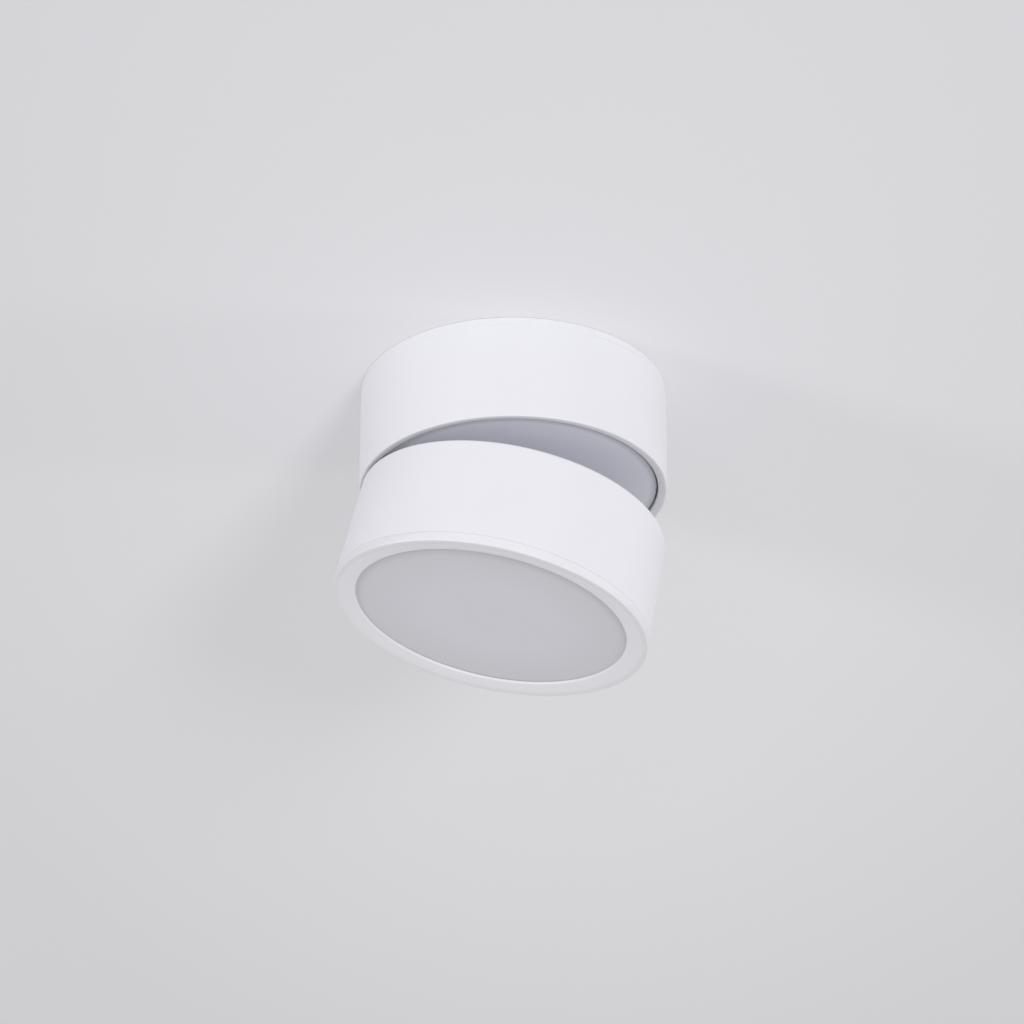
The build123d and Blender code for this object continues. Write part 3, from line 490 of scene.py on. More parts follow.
@contextmanager
def edit_mode(piece: Piece) -> Iterator[None]:
    """Edit one piece with all of its mesh selected.

    Args:
        piece: The piece to edit.

    Yields:
        Nothing, while the piece is edited.
    """
    select_only(piece)
    bpy.ops.object.mode_set(mode="EDIT")
    bpy.ops.mesh.select_mode(type=Part.VERTEX.value)
    bpy.ops.mesh.select_all(action="SELECT")
    yield
    bpy.ops.object.mode_set(mode="OBJECT")


def choose(piece: Piece, kind: Part, test: Callable[[object], bool]) -> None:
    """Select the parts of a piece in edit mode that pass a test, and no others.

    Args:
        piece: The piece that is being edited.
        kind: Whether vertices, edges or faces are tested.
        test: Takes one of them and tells whether it is selected.
    """
    bpy.ops.mesh.select_mode(type=kind.value)
    bpy.ops.mesh.select_all(action="DESELECT")
    bpy.ops.object.mode_set(mode="OBJECT")
    mesh = piece.data
    parts = {Part.VERTEX: mesh.vertices, Part.EDGE: mesh.edges, Part.FACE: mesh.polygons}
    for part in parts[kind]:
        part.select = test(part)
    bpy.ops.object.mode_set(mode="EDIT")


def named(name: str) -> Piece:
    """Rename the object that an operator has just made.

    Args:
        name: The new name of the object and its mesh.

    Returns:
        The object.
    """
    piece = bpy.context.object
    piece.name = name
    piece.data.name = name
    return piece


def settle(piece: Piece, place: Matrix | None = None) -> Piece:
    """Move a piece to its place and put that place into its mesh.

    Args:
        piece: The piece to settle.
        place: Where its own frame stands, or None to keep it where it is.

    Returns:
        The same piece.
    """
    if place is not None:
        piece.matrix_world = place @ piece.matrix_world
    select_only(piece)
    bpy.ops.object.transform_apply(location=True, rotation=True, scale=True)
    return piece


def modify(piece: Piece, kind: str, **settings: object) -> None:
    """Add a modifier to a piece, set it and apply it.

    Args:
        piece: The piece that is changed.
        kind: The modifier's type.
        settings: Its settings by name.
    """
    modifier = piece.modifiers.new(kind, kind)
    for setting, value in settings.items():
        setattr(modifier, setting, value)
    select_only(piece)
    bpy.ops.object.modifier_apply(modifier=modifier.name)


@dataclass(frozen=True)
class Corner:
    """A corner of a half section: its radius, its height and how far it is rounded."""

    r: float
    z: float
    rounding: float = 0.0

    @property
    def point(self) -> Vector:
        """The corner in the plane of the section."""
        return Vector((self.r, 0.0, self.z))


def round_off(before: Vector, here: Vector, after: Vector, rounding: float) -> list[Vector]:
    """Points of the arc that rounds one corner.

    Args:
        before: The corner before.
        here: The corner that is rounded.
        after: The corner after.
        rounding: Radius of the arc.

    Returns:
        The arc's points, from the first side to the second.
    """
    back, ahead = (before - here).normalized(), (after - here).normalized()
    half = back.angle(ahead) / 2
    centre = here + (back + ahead).normalized() * rounding / sin(half)
    first = here + back * rounding / tan(half) - centre
    last = here + ahead * rounding / tan(half) - centre
    sweep = first.angle(last)
    shares = [step / ARC_STEPS for step in range(ARC_STEPS + 1)]
    return [centre + (first * sin((1 - s) * sweep) + last * sin(s * sweep)) / sin(sweep) for s in shares]


def section(corners: Sequence[Corner], closed: bool) -> list[Vector]:
    """Points of a half section with its corners rounded.

    Args:
        corners: The corners in order.
        closed: Whether the last corner joins the first.

    Returns:
        The section's points, with the first repeated at the end of a closed one.
    """
    points = []
    for index, corner in enumerate(corners):
        if corner.rounding:
            before = corners[index - 1].point
            after = corners[(index + 1) % len(corners)].point
            points += round_off(before, corner.point, after, corner.rounding)
        else:
            points.append(corner.point)
    return points + points[:1] if closed else points


def turned(name: str, corners: Sequence[Corner], closed: bool = True, steps: int = TURN_STEPS) -> Piece:
    """Turn a half section round Z, as on a lathe.

    Args:
        name: The piece's name.
        corners: The half section, which ends on the axis if it isn't closed.
        closed: Whether the last corner joins the first.
        steps: Number of steps in the turn.

    Returns:
        The turned piece.
    """
    points = section(corners, closed)
    bpy.ops.object.select_all(action="DESELECT")
    bpy.ops.mesh.primitive_plane_add(size=MM)
    piece = named(name)
    with edit_mode(piece):
        bpy.ops.mesh.merge(type="CENTER")
        bpy.ops.transform.translate(value=points[0])
        for here, there in zip(points, points[1:]):
            bpy.ops.mesh.extrude_vertices_move(TRANSFORM_OT_translate={"value": there - here})
        bpy.ops.mesh.select_all(action="SELECT")
        bpy.ops.mesh.spin(steps=steps, angle=2 * pi, center=(0, 0, 0), axis=(0, 0, 1))
        bpy.ops.mesh.select_all(action="SELECT")
        bpy.ops.mesh.remove_doubles(threshold=WELD)
        bpy.ops.mesh.normals_make_consistent(inside=False)
    return piece


def block(name: str, low: Sequence[float], high: Sequence[float]) -> Piece:
    """A square block between two corners.

    Args:
        name: The block's name.
        low: Its lowest corner.
        high: Its highest corner.

    Returns:
        The block.
    """
    low, high = Vector(low), Vector(high)
    bpy.ops.object.select_all(action="DESELECT")
    bpy.ops.mesh.primitive_cube_add(size=1.0, location=(low + high) / 2)
    piece = named(name)
    piece.scale = high - low
    return settle(piece)


def rod(
    name: str, radius: float, start: Sequence[float], end: Sequence[float], sides: int = ROD_SIDES
) -> Piece:
    """A round or many-sided rod between two points.

    Args:
        name: The rod's name.
        radius: Radius to its corners.
        start: Middle of its first end.
        end: Middle of its other end.
        sides: Number of its sides.

    Returns:
        The rod.
    """
    start, end = Vector(start), Vector(end)
    turn = (end - start).to_track_quat("Z", "Y").to_euler()
    bpy.ops.object.select_all(action="DESELECT")
    bpy.ops.mesh.primitive_cylinder_add(
        vertices=sides, radius=radius, depth=(end - start).length, location=(start + end) / 2, rotation=turn
    )
    return settle(named(name))


def key_tool(width: float, start: float, end: float) -> Piece:
    """A hexagon along Z between two levels, for a key of a width across its flats."""
    corner = width / 2 / cos(pi / KEY_SIDES)
    return rod("key_tool", corner, (0, 0, start), (0, 0, end), KEY_SIDES)


def slotted(name: str, width: float, length: float, centre: Sequence[float], depth: float) -> Piece:
    """A tool for a slot with round ends, long along X.

    Args:
        name: The tool's name.
        width: Width of the slot.
        length: Length over its round ends.
        centre: Middle of the tool.
        depth: Its height.

    Returns:
        The tool.
    """
    middle = Vector(centre)
    up = Vector((0, 0, depth / 2))
    piece = rod(name, width / 2, middle - up, middle + up, SLOT_SIDES)
    for side in (-1, 1):
        with edit_mode(piece):
            choose(piece, Part.VERTEX, lambda vertex: side * (vertex.co.x - middle.x) > WELD)
            bpy.ops.transform.translate(value=(side * (length - width) / 2, 0, 0))
    return piece


def combine(piece: Piece, how: Join, *tools: Piece) -> None:
    """Cut, add or keep what other solids cover, one after another, and discard them.

    Args:
        piece: The piece that is changed.
        how: What the solids do to it.
        tools: The solids that act on it.
    """
    for tool in tools:
        modify(piece, "BOOLEAN", operation=how.value, solver="EXACT", object=tool)
        bpy.data.meshes.remove(tool.data)


def soften(piece: Piece, width: float, steps: int = 2) -> None:
    """Round the sharp edges of a piece to a width, with a number of faces across it."""
    limit = {"limit_method": "ANGLE", "angle_limit": SOFT_ANGLE}
    modify(piece, "BEVEL", width=width, segments=steps, **limit)


def spread(count: int) -> list[float]:
    """Even turns round Z, of which the first is half a step from X."""
    return [pi * (2 * step + 1) / count for step in range(count)]


def copied(piece: Piece, places: Sequence[Matrix], name: str) -> Piece:
    """Copies of a piece at several places, as one object.

    Args:
        piece: The piece to copy, which is discarded.
        places: Where its own frame stands in each copy.
        name: Name of the joined copies.

    Returns:
        The joined copies.
    """
    copies = []
    for place in places:
        select_only(piece)
        bpy.ops.object.duplicate()
        copies.append(settle(bpy.context.object, place))
    for copy in copies:
        copy.select_set(True)
    bpy.ops.object.join()
    bpy.data.meshes.remove(piece.data)
    return named(name)


def smooth(piece: Piece) -> None:
    """Weld a piece, shade it smooth up to its sharp edges and let its large faces lead the shading.

    Args:
        piece: The piece to smooth.
    """
    with edit_mode(piece):
        bpy.ops.mesh.remove_doubles(threshold=WELD)
    bpy.ops.object.shade_smooth_by_angle(angle=SMOOTH_ANGLE)
    modify(piece, "WEIGHTED_NORMAL", keep_sharp=True)


def fit_out(piece: Piece, body: Body, nodes: Sequence[str], *finishes: Finish) -> None:
    """Finish a piece, make it ride on its body and let it stand for its nodes.

    Args:
        piece: The finished shape.
        body: The body that it moves with.
        nodes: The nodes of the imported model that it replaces.
        finishes: Its finishes, with the main one first.
    """
    if not piece.data.materials:
        for finish in finishes:
            piece.data.materials.append(finish.material())
    smooth(piece)
    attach(piece, body.value)
    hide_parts(*nodes)
    faces = len(piece.data.polygons)
    log.info("%s rides on %s for %s: %d faces", piece.name, body.value, ", ".join(nodes), faces)


def dress(finish: Finish, *nodes: str) -> None:
    """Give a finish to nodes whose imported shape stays.

    Args:
        finish: The finish.
        nodes: The nodes that get it.
    """
    for node in nodes:
        frame["nodes"][node].material_slots[0].material = finish.material()
        log.info("%s keeps its shape, in %s", node, finish.name)


def level(node: str) -> Span:
    """Lowest and highest level of a node."""
    low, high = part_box(node)
    return low.z, high.z


def joint(name: str) -> dict[str, Any]:
    """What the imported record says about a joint."""
    return next(entry for entry in frame["joints"] if entry["name"] == name)


# The fixed base


@dataclass
class BaseUnit:
    """The plate on the ceiling, the shell under it, and the screws and sleeve that show on them."""

    seam_chamfer: float = 0.3 * MM
    edge_round: float = 0.25 * MM
    wall: float = 3.0 * MM
    rim_flat: float = 1.3 * MM
    rim_dish: float = 0.7 * MM
    rim_round: float = 0.5 * MM
    rim_gap: float = 0.6 * MM
    bearing_radius: float = 7.06 * MM
    hub_radius: float = 12 * MM
    hub_height: float = 2 * MM
    rib_width: float = 1.8 * MM
    rib_root: float = 1 * MM
    rib_count: int = 5
    rib_step: float = radians(45)
    web_thickness: float = 2.2 * MM
    spigot_gap: float = 0.2 * MM
    spigot_wall: float = 2.5 * MM
    entry_radius: float = 8 * MM
    slot_width: float = 5.2 * MM
    slot_length: float = 14 * MM
    slot_spacing: float = 76 * MM
    screw_radius: float = 1.5 * MM
    screw_gap: float = 0.05 * MM
    grub_key: float = 1.5 * MM
    sleeve_flange: float = 1.5 * MM
    sleeve_bore: float = 4 * MM
    sleeve_wall: float = 1.5 * MM
    peg_radius: float = 1.65 * MM
    peg_pitch: float = 10 * MM

    def __post_init__(self) -> None:
        """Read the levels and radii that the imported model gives."""
        self.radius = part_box("base_housing")[1].x
        self.rim_level, self.seam_level = level("base_housing")
        self.spigot_end, self.top = level("ceiling_plate")
        self.web_bottom = level("thrust_washer")[1]
        self.web_top = level("driver_case")[0]
        self.rim_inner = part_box("swivel_disc")[1].x + self.rim_gap
        self.grub_level = sum(level("housing_screws")) / 2
        self.plate_under = self.top - self.web_thickness
        self.spigot_outer = self.radius - self.wall - self.spigot_gap
        self.spigot_inner = self.spigot_outer - self.spigot_wall

    def build(self) -> None:
        """Build and dress the pieces of the base."""
        self.build_plate()
        self.build_shell()
        self.build_grub_screws()
        self.build_sleeve()

    def build_plate(self) -> None:
        """Turn the ceiling plate and cut its slots and holes."""
        edge = self.edge_round
        plate = turned("mounting_plate", [
            Corner(self.entry_radius, self.top, edge),
            Corner(self.radius, self.top, edge),
            Corner(self.radius, self.seam_level + self.seam_chamfer),
            Corner(self.radius - self.seam_chamfer, self.seam_level),
            Corner(self.spigot_outer, self.seam_level),
            Corner(self.spigot_outer, self.spigot_end, edge),
            Corner(self.spigot_inner, self.spigot_end, edge),
            Corner(self.spigot_inner, self.plate_under, edge),
            Corner(self.entry_radius, self.plate_under, edge),
        ])
        middle = self.top - self.web_thickness / 2
        for side in (-1, 1):
            place = (side * self.slot_spacing / 2, 0, middle)
            tool = slotted("slot_tool", self.slot_width, self.slot_length, place, self.web_thickness + PAST)
            combine(plate, Join.TAKE, tool)
        low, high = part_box("terminal_block")
        through = Vector((0, 0, self.web_thickness + 2 * PAST))
        for side in (-1, 1):
            foot = Vector((side * self.peg_pitch / 2, (low.y + high.y) / 2, self.plate_under - PAST))
            combine(plate, Join.TAKE, rod("peg_tool", self.peg_radius, foot, foot + through))
        fit_out(plate, Body.BASE, ["ceiling_plate"], WHITE_COAT)

    def build_shell(self) -> None:
        """Turn the base's shell with its dished rim, web and hub, and cut the holes of the grub screws."""
        inner = self.radius - self.wall
        hub_top = self.web_top + self.hub_height
        shell = turned("base_shell", [
            Corner(inner, self.seam_level),
            Corner(self.radius - self.seam_chamfer, self.seam_level),
            Corner(self.radius, self.seam_level - self.seam_chamfer),
            Corner(self.radius, self.rim_level, self.rim_round),
            Corner(self.radius - self.rim_flat, self.rim_level),
            Corner(self.rim_inner, self.rim_level + self.rim_dish, self.rim_round),
            Corner(self.rim_inner, self.web_bottom),
            Corner(self.bearing_radius, self.web_bottom, self.edge_round),
            Corner(self.bearing_radius, hub_top, self.edge_round),
            Corner(self.hub_radius, hub_top, self.edge_round),
            Corner(self.hub_radius, self.web_top, self.edge_round),
            Corner(inner, self.web_top, self.edge_round),
        ])
        half = self.rib_width / 2
        rib_low = (self.hub_radius - PAST, -half, self.web_top - self.rib_root)
        rib_high = ((self.radius + inner) / 2, half, hub_top - self.edge_round)
        for rib in range(self.rib_count):
            turn = Matrix.Rotation(pi + rib * self.rib_step, 4, "Z")
            combine(shell, Join.ADD, settle(block("rib", rib_low, rib_high), turn))
        reach = self.radius + PAST
        hole = self.screw_radius + self.screw_gap
        tool = rod("grub_tool", hole, (-reach, 0, self.grub_level), (reach, 0, self.grub_level))
        combine(shell, Join.TAKE, tool)
        fit_out(shell, Body.BASE, ["base_housing"], WHITE_COAT)

    def build_grub_screws(self) -> None:
        """Turn one grub screw with its hexagon socket, and copy it to both sides."""
        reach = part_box("housing_screws")[1].x
        edge = self.seam_chamfer
        screw = turned("grub_screw", [
            Corner(0, reach),
            Corner(self.screw_radius - edge, reach),
            Corner(self.screw_radius, reach - edge),
            Corner(self.screw_radius, self.spigot_inner + edge),
            Corner(self.screw_radius - 2 * edge, self.spigot_inner),
            Corner(0, self.spigot_inner),
        ], closed=False, steps=ROD_SIDES)
        combine(screw, Join.TAKE, key_tool(self.grub_key, reach - self.grub_key, reach + PAST))
        lift = Matrix.Translation((0, 0, self.grub_level))
        places = [lift @ Matrix.Rotation(side * pi / 2, 4, "Y") for side in (-1, 1)]
        fit_out(copied(screw, places, "grub_screw_pair"), Body.BASE, ["housing_screws"], ZINC_STEEL)

    def build_sleeve(self) -> None:
        """Turn the rubber sleeve of the cable entry."""
        low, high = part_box("cable_grommet")
        neck = self.entry_radius - self.screw_gap
        flange = self.plate_under - self.sleeve_flange
        edge = self.edge_round
        sleeve = turned("cable_sleeve", [
            Corner(self.sleeve_bore, high.z, edge),
            Corner(neck, high.z, edge),
            Corner(neck, self.plate_under),
            Corner(high.x, self.plate_under, edge),
            Corner(high.x, flange, edge),
            Corner(neck, flange, edge),
            Corner(self.sleeve_bore + self.sleeve_wall, low.z, edge),
            Corner(self.sleeve_bore, low.z, edge),
        ])
        fit_out(sleeve, Body.BASE, ["cable_grommet"], BLACK_RUBBER)


# The part that swivels


@dataclass
class SwivelUnit:
    """The disc that turns in the base, with the bracket that carries the hinge pin."""

    disc_edge: float = 0.4 * MM
    disc_bevel: float = 0.6 * MM
    # Painted shade: the disc's coat is the white coat made darker and bluer as shade, with a darker band of
    # painted shade along its edge by the gap.
    shaded_disc_colour: Colour = (0.722, 0.731, 0.793)
    shaded_disc_patch: Colour = (0.708, 0.718, 0.778)
    gap_shade_colour: Colour = (0.45, 0.455, 0.49)
    gap_shade_width: float = 2.8 * MM
    flange_seat: float = 13.05 * MM
    flange_depth: float = 1.5 * MM
    bore_radius: float = 7.05 * MM
    foot_length: float = 18 * MM
    foot_width: float = 22 * MM
    foot_thickness: float = 3 * MM
    foot_corner: float = 3 * MM
    foot_reach: float = 12 * MM
    neck_length: float = 3 * MM
    neck_width: float = 11 * MM
    knuckle_radius: float = 3.85 * MM
    bush_radius: float = 2.4 * MM
    edge_round: float = 0.25 * MM
    screw_radius: float = 1.5 * MM
    screw_head: float = 2.7 * MM
    screw_gap: float = 0.05 * MM
    screw_pitch: Span = (8 * MM, 14 * MM)
    key: float = 2 * MM

    def __post_init__(self) -> None:
        """Read the disc's levels and the hinge pin's place."""
        low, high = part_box("swivel_disc")
        self.disc_bottom, self.disc_top, self.disc_radius = low.z, high.z, high.x
        self.pin = Vector(joint("tilt")["pos_m"])
        self.foot_start = self.pin.x + self.foot_reach
        self.foot_middle = self.foot_start + self.foot_length / 2
        self.foot_bottom = self.disc_bottom - self.foot_thickness

    def build(self) -> None:
        """Build and dress the pieces that swivel."""
        self.build_disc()
        self.build_bracket()
        self.build_screws()

    def screw_places(self) -> list[Matrix]:
        """Find where the bracket's screws stand.

        Returns:
            The place of each screw, with its head down at the origin.
        """
        across, along = self.screw_pitch
        signs = [(i, j) for i in (-1, 1) for j in (-1, 1)]
        points = [(self.foot_middle + i * across / 2, j * along / 2, self.foot_bottom) for i, j in signs]
        return [Matrix.Translation(point) for point in points]

    def build_disc(self) -> None:
        """Turn the disc, with the seat of the spindle's flange in its underside and painted shade along its
        edge.
        """
        seat = self.disc_bottom + self.flange_depth
        disc = turned("turn_plate", [
            Corner(self.bore_radius, self.disc_top, self.edge_round),
            Corner(self.disc_radius, self.disc_top, self.disc_edge),
            Corner(self.disc_radius, self.disc_bottom + self.disc_bevel),
            Corner(self.disc_radius - self.disc_bevel, self.disc_bottom, self.edge_round),
            Corner(self.flange_seat, self.disc_bottom, self.edge_round),
            Corner(self.flange_seat, seat),
            Corner(self.bore_radius, seat, self.edge_round),
        ])
        hole = self.screw_radius + self.screw_gap
        for place in self.screw_places():
            foot = place.translation
            tool = rod("screw_tool", hole, foot, (foot.x, foot.y, self.disc_top + PAST))
            combine(disc, Join.TAKE, tool)
        # The disc's coat is painted shade: darker and bluer than the white coat, and darker still towards
        # its edge.
        coat = BandedCoat(
            "disc_coat_painted_shade", "white_coat", self.shaded_disc_colour, self.shaded_disc_patch, band=self.gap_shade_colour,
            fade_in=(self.disc_radius - self.gap_shade_width, self.disc_radius), centre=Vector()
        )
        fit_out(disc, Body.SWIVEL, ["swivel_disc"], coat)

    def build_bracket(self) -> None:
        """Shape the bracket: a foot with round corners, and a neck drawn out to the knuckle."""
        half = Vector((self.foot_length / 2, self.foot_width / 2, self.foot_thickness / 2))
        middle = Vector((self.foot_middle, 0, self.foot_bottom + half.z))
        bracket = block("hinge_bracket", middle - half, middle + half)
        with edit_mode(bracket):
            points = bracket.data.vertices
            choose(bracket, Part.EDGE, lambda edge: self.upright(*(points[i].co for i in edge.vertices)))
            bpy.ops.mesh.bevel(offset=self.foot_corner, segments=ARC_STEPS, affect="EDGES")
        across = Vector((0, self.neck_width / 2, 0))
        neck = rod("neck", self.knuckle_radius, self.pin - across, self.pin + across)
        root_end = (self.foot_start + self.neck_length, across.y, self.disc_bottom)
        root = block("neck_root", (self.foot_start, -across.y, self.foot_bottom), root_end)
        select_only(neck)
        root.select_set(True)
        bpy.ops.object.join()
        with edit_mode(neck):
            bpy.ops.mesh.convex_hull()
        combine(bracket, Join.ADD, neck)
        soften(bracket, self.edge_round)
        beyond = across + Vector((0, PAST, 0))
        bush_tool = rod("bush_tool", self.bush_radius, self.pin - beyond, self.pin + beyond)
        combine(bracket, Join.TAKE, bush_tool)
        for place in self.screw_places():
            combine(bracket, Join.TAKE, settle(self.screw_shape("screw_tool", self.screw_gap), place))
        fit_out(bracket, Body.SWIVEL, ["hinge_arm"], WHITE_COAT)

    def upright(self, first: Vector, last: Vector) -> bool:
        """Whether an edge of the foot between two points stands along Z."""
        return abs(first.z - last.z) > self.foot_thickness / 2

    def screw_shape(self, name: str, gap: float = 0.0) -> Piece:
        """Turn a countersunk screw that stands head down on the origin.

        Args:
            name: Name of the shape.
            gap: How much larger it is than the screw, where it serves as a tool.

        Returns:
            The turned shape.
        """
        head, shank = self.screw_head + gap, self.screw_radius + gap
        end = self.foot_thickness + self.disc_top - self.disc_bottom - self.disc_edge + gap
        return turned(name, [
            Corner(0, -gap),
            Corner(head, -gap),
            Corner(shank, head - shank - gap),
            Corner(shank, end),
            Corner(0, end),
        ], closed=False, steps=ROD_SIDES)

    def build_screws(self) -> None:
        """Cut the hexagon socket in one screw, and copy it to its four places."""
        screw = self.screw_shape("bracket_screw")
        combine(screw, Join.TAKE, key_tool(self.key, -PAST, self.key / 2))
        screws = copied(screw, self.screw_places(), "bracket_screws")
        fit_out(screws, Body.SWIVEL, ["arm_screws"], ZINC_STEEL)


# The light head


@dataclass
class LightHead:
    """The drum with its hinge cheeks, front ring and diffuser, modelled upright and then tilted."""

    swivel: SwivelUnit
    flare: float = 1.8 * MM
    pin_depth: float = 6 * MM
    rear_round: float = 1.5 * MM
    rear_wall: float = 3.5 * MM
    wall: float = 3 * MM
    hollow_round: float = 1 * MM
    edge_round: float = 0.2 * MM
    pocket_gap: float = 0.15 * MM
    pocket_wall: float = 2.5 * MM
    slot_width: float = 14 * MM
    slot_depth: float = 10.45 * MM
    slot_clearance: float = 0.6 * MM
    foot_swing: float = 0.5 * MM
    pin_radius: float = 1.55 * MM
    boss_radius: float = 4.2 * MM
    boss_inset: float = 4 * MM
    boss_count: int = 4
    sink_plate: float = 3 * MM
    ring_round: float = 0.5 * MM
    ring_flat: float = 3.3 * MM
    ring_dish: float = 1.0 * MM
    ring_bevel: float = 0.3 * MM
    ring_lap: float = 2.7 * MM
    # Painted shade on the flat outer band of the ring's face.
    ring_shade_colour: Colour = (0.805, 0.8, 0.838)
    ring_shade_fade: float = 0.3 * MM
    spigot_wall: float = 2.1 * MM
    spigot_fit: float = 0.1 * MM
    seam_chamfer: float = 0.26 * MM
    notch_width: float = 8 * MM
    notch_count: int = 4
    inlet_radius: float = 4.95 * MM
    inlet_bore: float = 3.5 * MM
    bumper_stem: float = 1.6 * MM
    bumper_taper: float = radians(15)
    chip_size: Span = (3.5 * MM, 2.8 * MM)
    chip_ring: float = 10 * MM
    chip_rings: int = 3
    chip_count: int = 6
    chip_margin: float = 12.5 * MM
    chip_inset: float = 0.45 * MM
    chip_dish: float = 0.2 * MM

    def __post_init__(self) -> None:
        """Stand the head's own frame on its rear face, and read its sizes in that frame."""
        self.tilt = -radians(joint("tilt")["range_deg"][0])
        self.pin = self.swivel.pin
        back = Matrix.Translation(self.pin) @ Matrix.Rotation(self.tilt, 4, "Y")
        self.place = back @ Matrix.Translation((-self.pin.x, 0, self.pin_depth))
        self.rear_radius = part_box("base_housing")[1].x
        self.front_radius = self.rear_radius + self.flare
        self.beyond = -self.front_radius - PAST
        self.shell_end = self.box("head_housing")[0].z
        ring_low, ring_high = self.box("bezel")
        self.front_level, self.spigot_end = ring_low.z, ring_high.z
        self.sheet_low, self.sheet_high = self.box("diffuser")
        self.window = self.sheet_high.y - self.ring_lap
        self.block_low, self.block_high = self.box("hinge_block")

    def box(self, node: str) -> tuple[Vector, Vector]:
        """Lowest and highest corner of a node in the head's own frame.

        Args:
            node: The node's name.

        Returns:
            The two corners.
        """
        back = self.place.inverted()
        points = [back @ vertex.co for vertex in frame["nodes"][node].data.vertices]
        low = Vector(min(point[axis] for point in points) for axis in range(3))
        high = Vector(max(point[axis] for point in points) for axis in range(3))
        return low, high

    def drum_radius(self, height: float) -> float:
        """Outer radius of the drum at a height in the head's frame."""
        return self.rear_radius + self.flare * height / self.front_level

    def build(self) -> None:
        """Build and dress the pieces of the head."""
        self.build_drum()
        self.build_cheeks()
        self.build_front_ring()
        self.build_diffuser()
        self.build_inlet()
        self.build_bumpers()
        self.build_chips()

    def seat(self, piece: Piece, nodes: Sequence[str], *finishes: Finish) -> None:
        """Tilt a finished piece of the head's own frame into place, and fit it out for its nodes."""
        settle(piece, self.place)
        fit_out(piece, Body.HEAD, nodes, *finishes)

    def foot_recess_tool(self) -> Piece:
        """Make room in the rear face for the foot of the bracket, when the head is folded flat.

        Returns:
            The tool that cuts the recess.
        """
        foot = self.swivel
        start = foot.foot_start - self.slot_clearance - self.foot_swing
        half = foot.foot_width / 2 + self.slot_clearance
        end = foot.foot_start + foot.foot_length + self.slot_clearance
        folded_rear = self.pin.z + self.pin_depth
        floor = foot.foot_bottom - folded_rear - self.slot_clearance
        return block("recess_tool", (start, -half, floor), (end, half, PAST))

    def solid_drum(self, name: str, end: float) -> Piece:
        """A solid slice of the drum from its rear face.

        Args:
            name: Name of the slice.
            end: Level of its front face.

        Returns:
            The slice.
        """
        return turned(name, [
            Corner(0, 0),
            Corner(self.rear_radius, 0, self.rear_round),
            Corner(self.drum_radius(end), end, self.edge_round),
            Corner(0, end),
        ], closed=False)

    def build_drum(self) -> None:
        """Turn the drum, hollow it round the hinge pocket, and cut the pocket and holes."""
        drum = self.solid_drum("drum_shell", self.shell_end)
        bore = self.drum_radius(self.shell_end) - self.wall
        hollow = turned("hollow", [
            Corner(0, -self.rear_wall),
            Corner(self.drum_radius(-self.rear_wall) - self.wall, -self.rear_wall, self.hollow_round),
            Corner(bore, self.spigot_end),
            Corner(bore, self.shell_end - PAST),
            Corner(0, self.shell_end - PAST),
        ], closed=False)
        half = self.block_high.y + self.pocket_gap
        end = self.block_high.x + self.pocket_gap
        floor = self.block_low.z - self.pocket_gap
        wall = self.pocket_wall
        shield = block("shield", (self.beyond, -half - wall, floor - wall), (end + wall, half + wall, PAST))
        combine(hollow, Join.TAKE, shield, *self.bosses())
        pocket = block("pocket", (self.beyond, -half, floor), (end, half, PAST))
        through = Vector((0, 0, self.rear_wall + PAST))
        inlet = self.inlet_centre()
        inlet_tool = rod("inlet_tool", self.inlet_radius, inlet - through, inlet + through)
        combine(drum, Join.TAKE, hollow, pocket, self.foot_recess_tool(), inlet_tool)
        self.seat(drum, ["head_housing"], WHITE_COAT)

    def bosses(self) -> list[Piece]:
        """Stand the round posts on which the heat sink is screwed.

        Returns:
            The posts, down to the heat sink's plate.
        """
        end = self.box("heat_sink")[0].z + self.sink_plate
        circle = self.drum_radius(end) - self.wall - self.boss_inset
        spots = [(circle * cos(turn), circle * sin(turn)) for turn in spread(self.boss_count)]
        return [rod("boss", self.boss_radius, (x, y, end), (x, y, 0)) for x, y in spots]

    def build_cheeks(self) -> None:
        """Cut the hinge block out of the drum's own form, with its slot, recess and pin hole."""
        low, high = self.block_low, self.block_high
        cheeks = self.solid_drum("hinge_cheeks", low.z)
        combine(cheeks, Join.KEEP, block("outline", (self.beyond, low.y, low.z), (high.x, high.y, PAST)))
        half = self.slot_width / 2
        slot = block("slot", (self.beyond, -half, -self.slot_depth), (high.x + PAST, half, PAST))
        start = (self.pin.x, low.y - PAST, -self.pin_depth)
        end = (self.pin.x, high.y + PAST, -self.pin_depth)
        pin_tool = rod("pin_tool", self.pin_radius, start, end)
        combine(cheeks, Join.TAKE, slot, self.foot_recess_tool(), pin_tool)
        self.seat(cheeks, ["hinge_block"], WHITE_COAT)

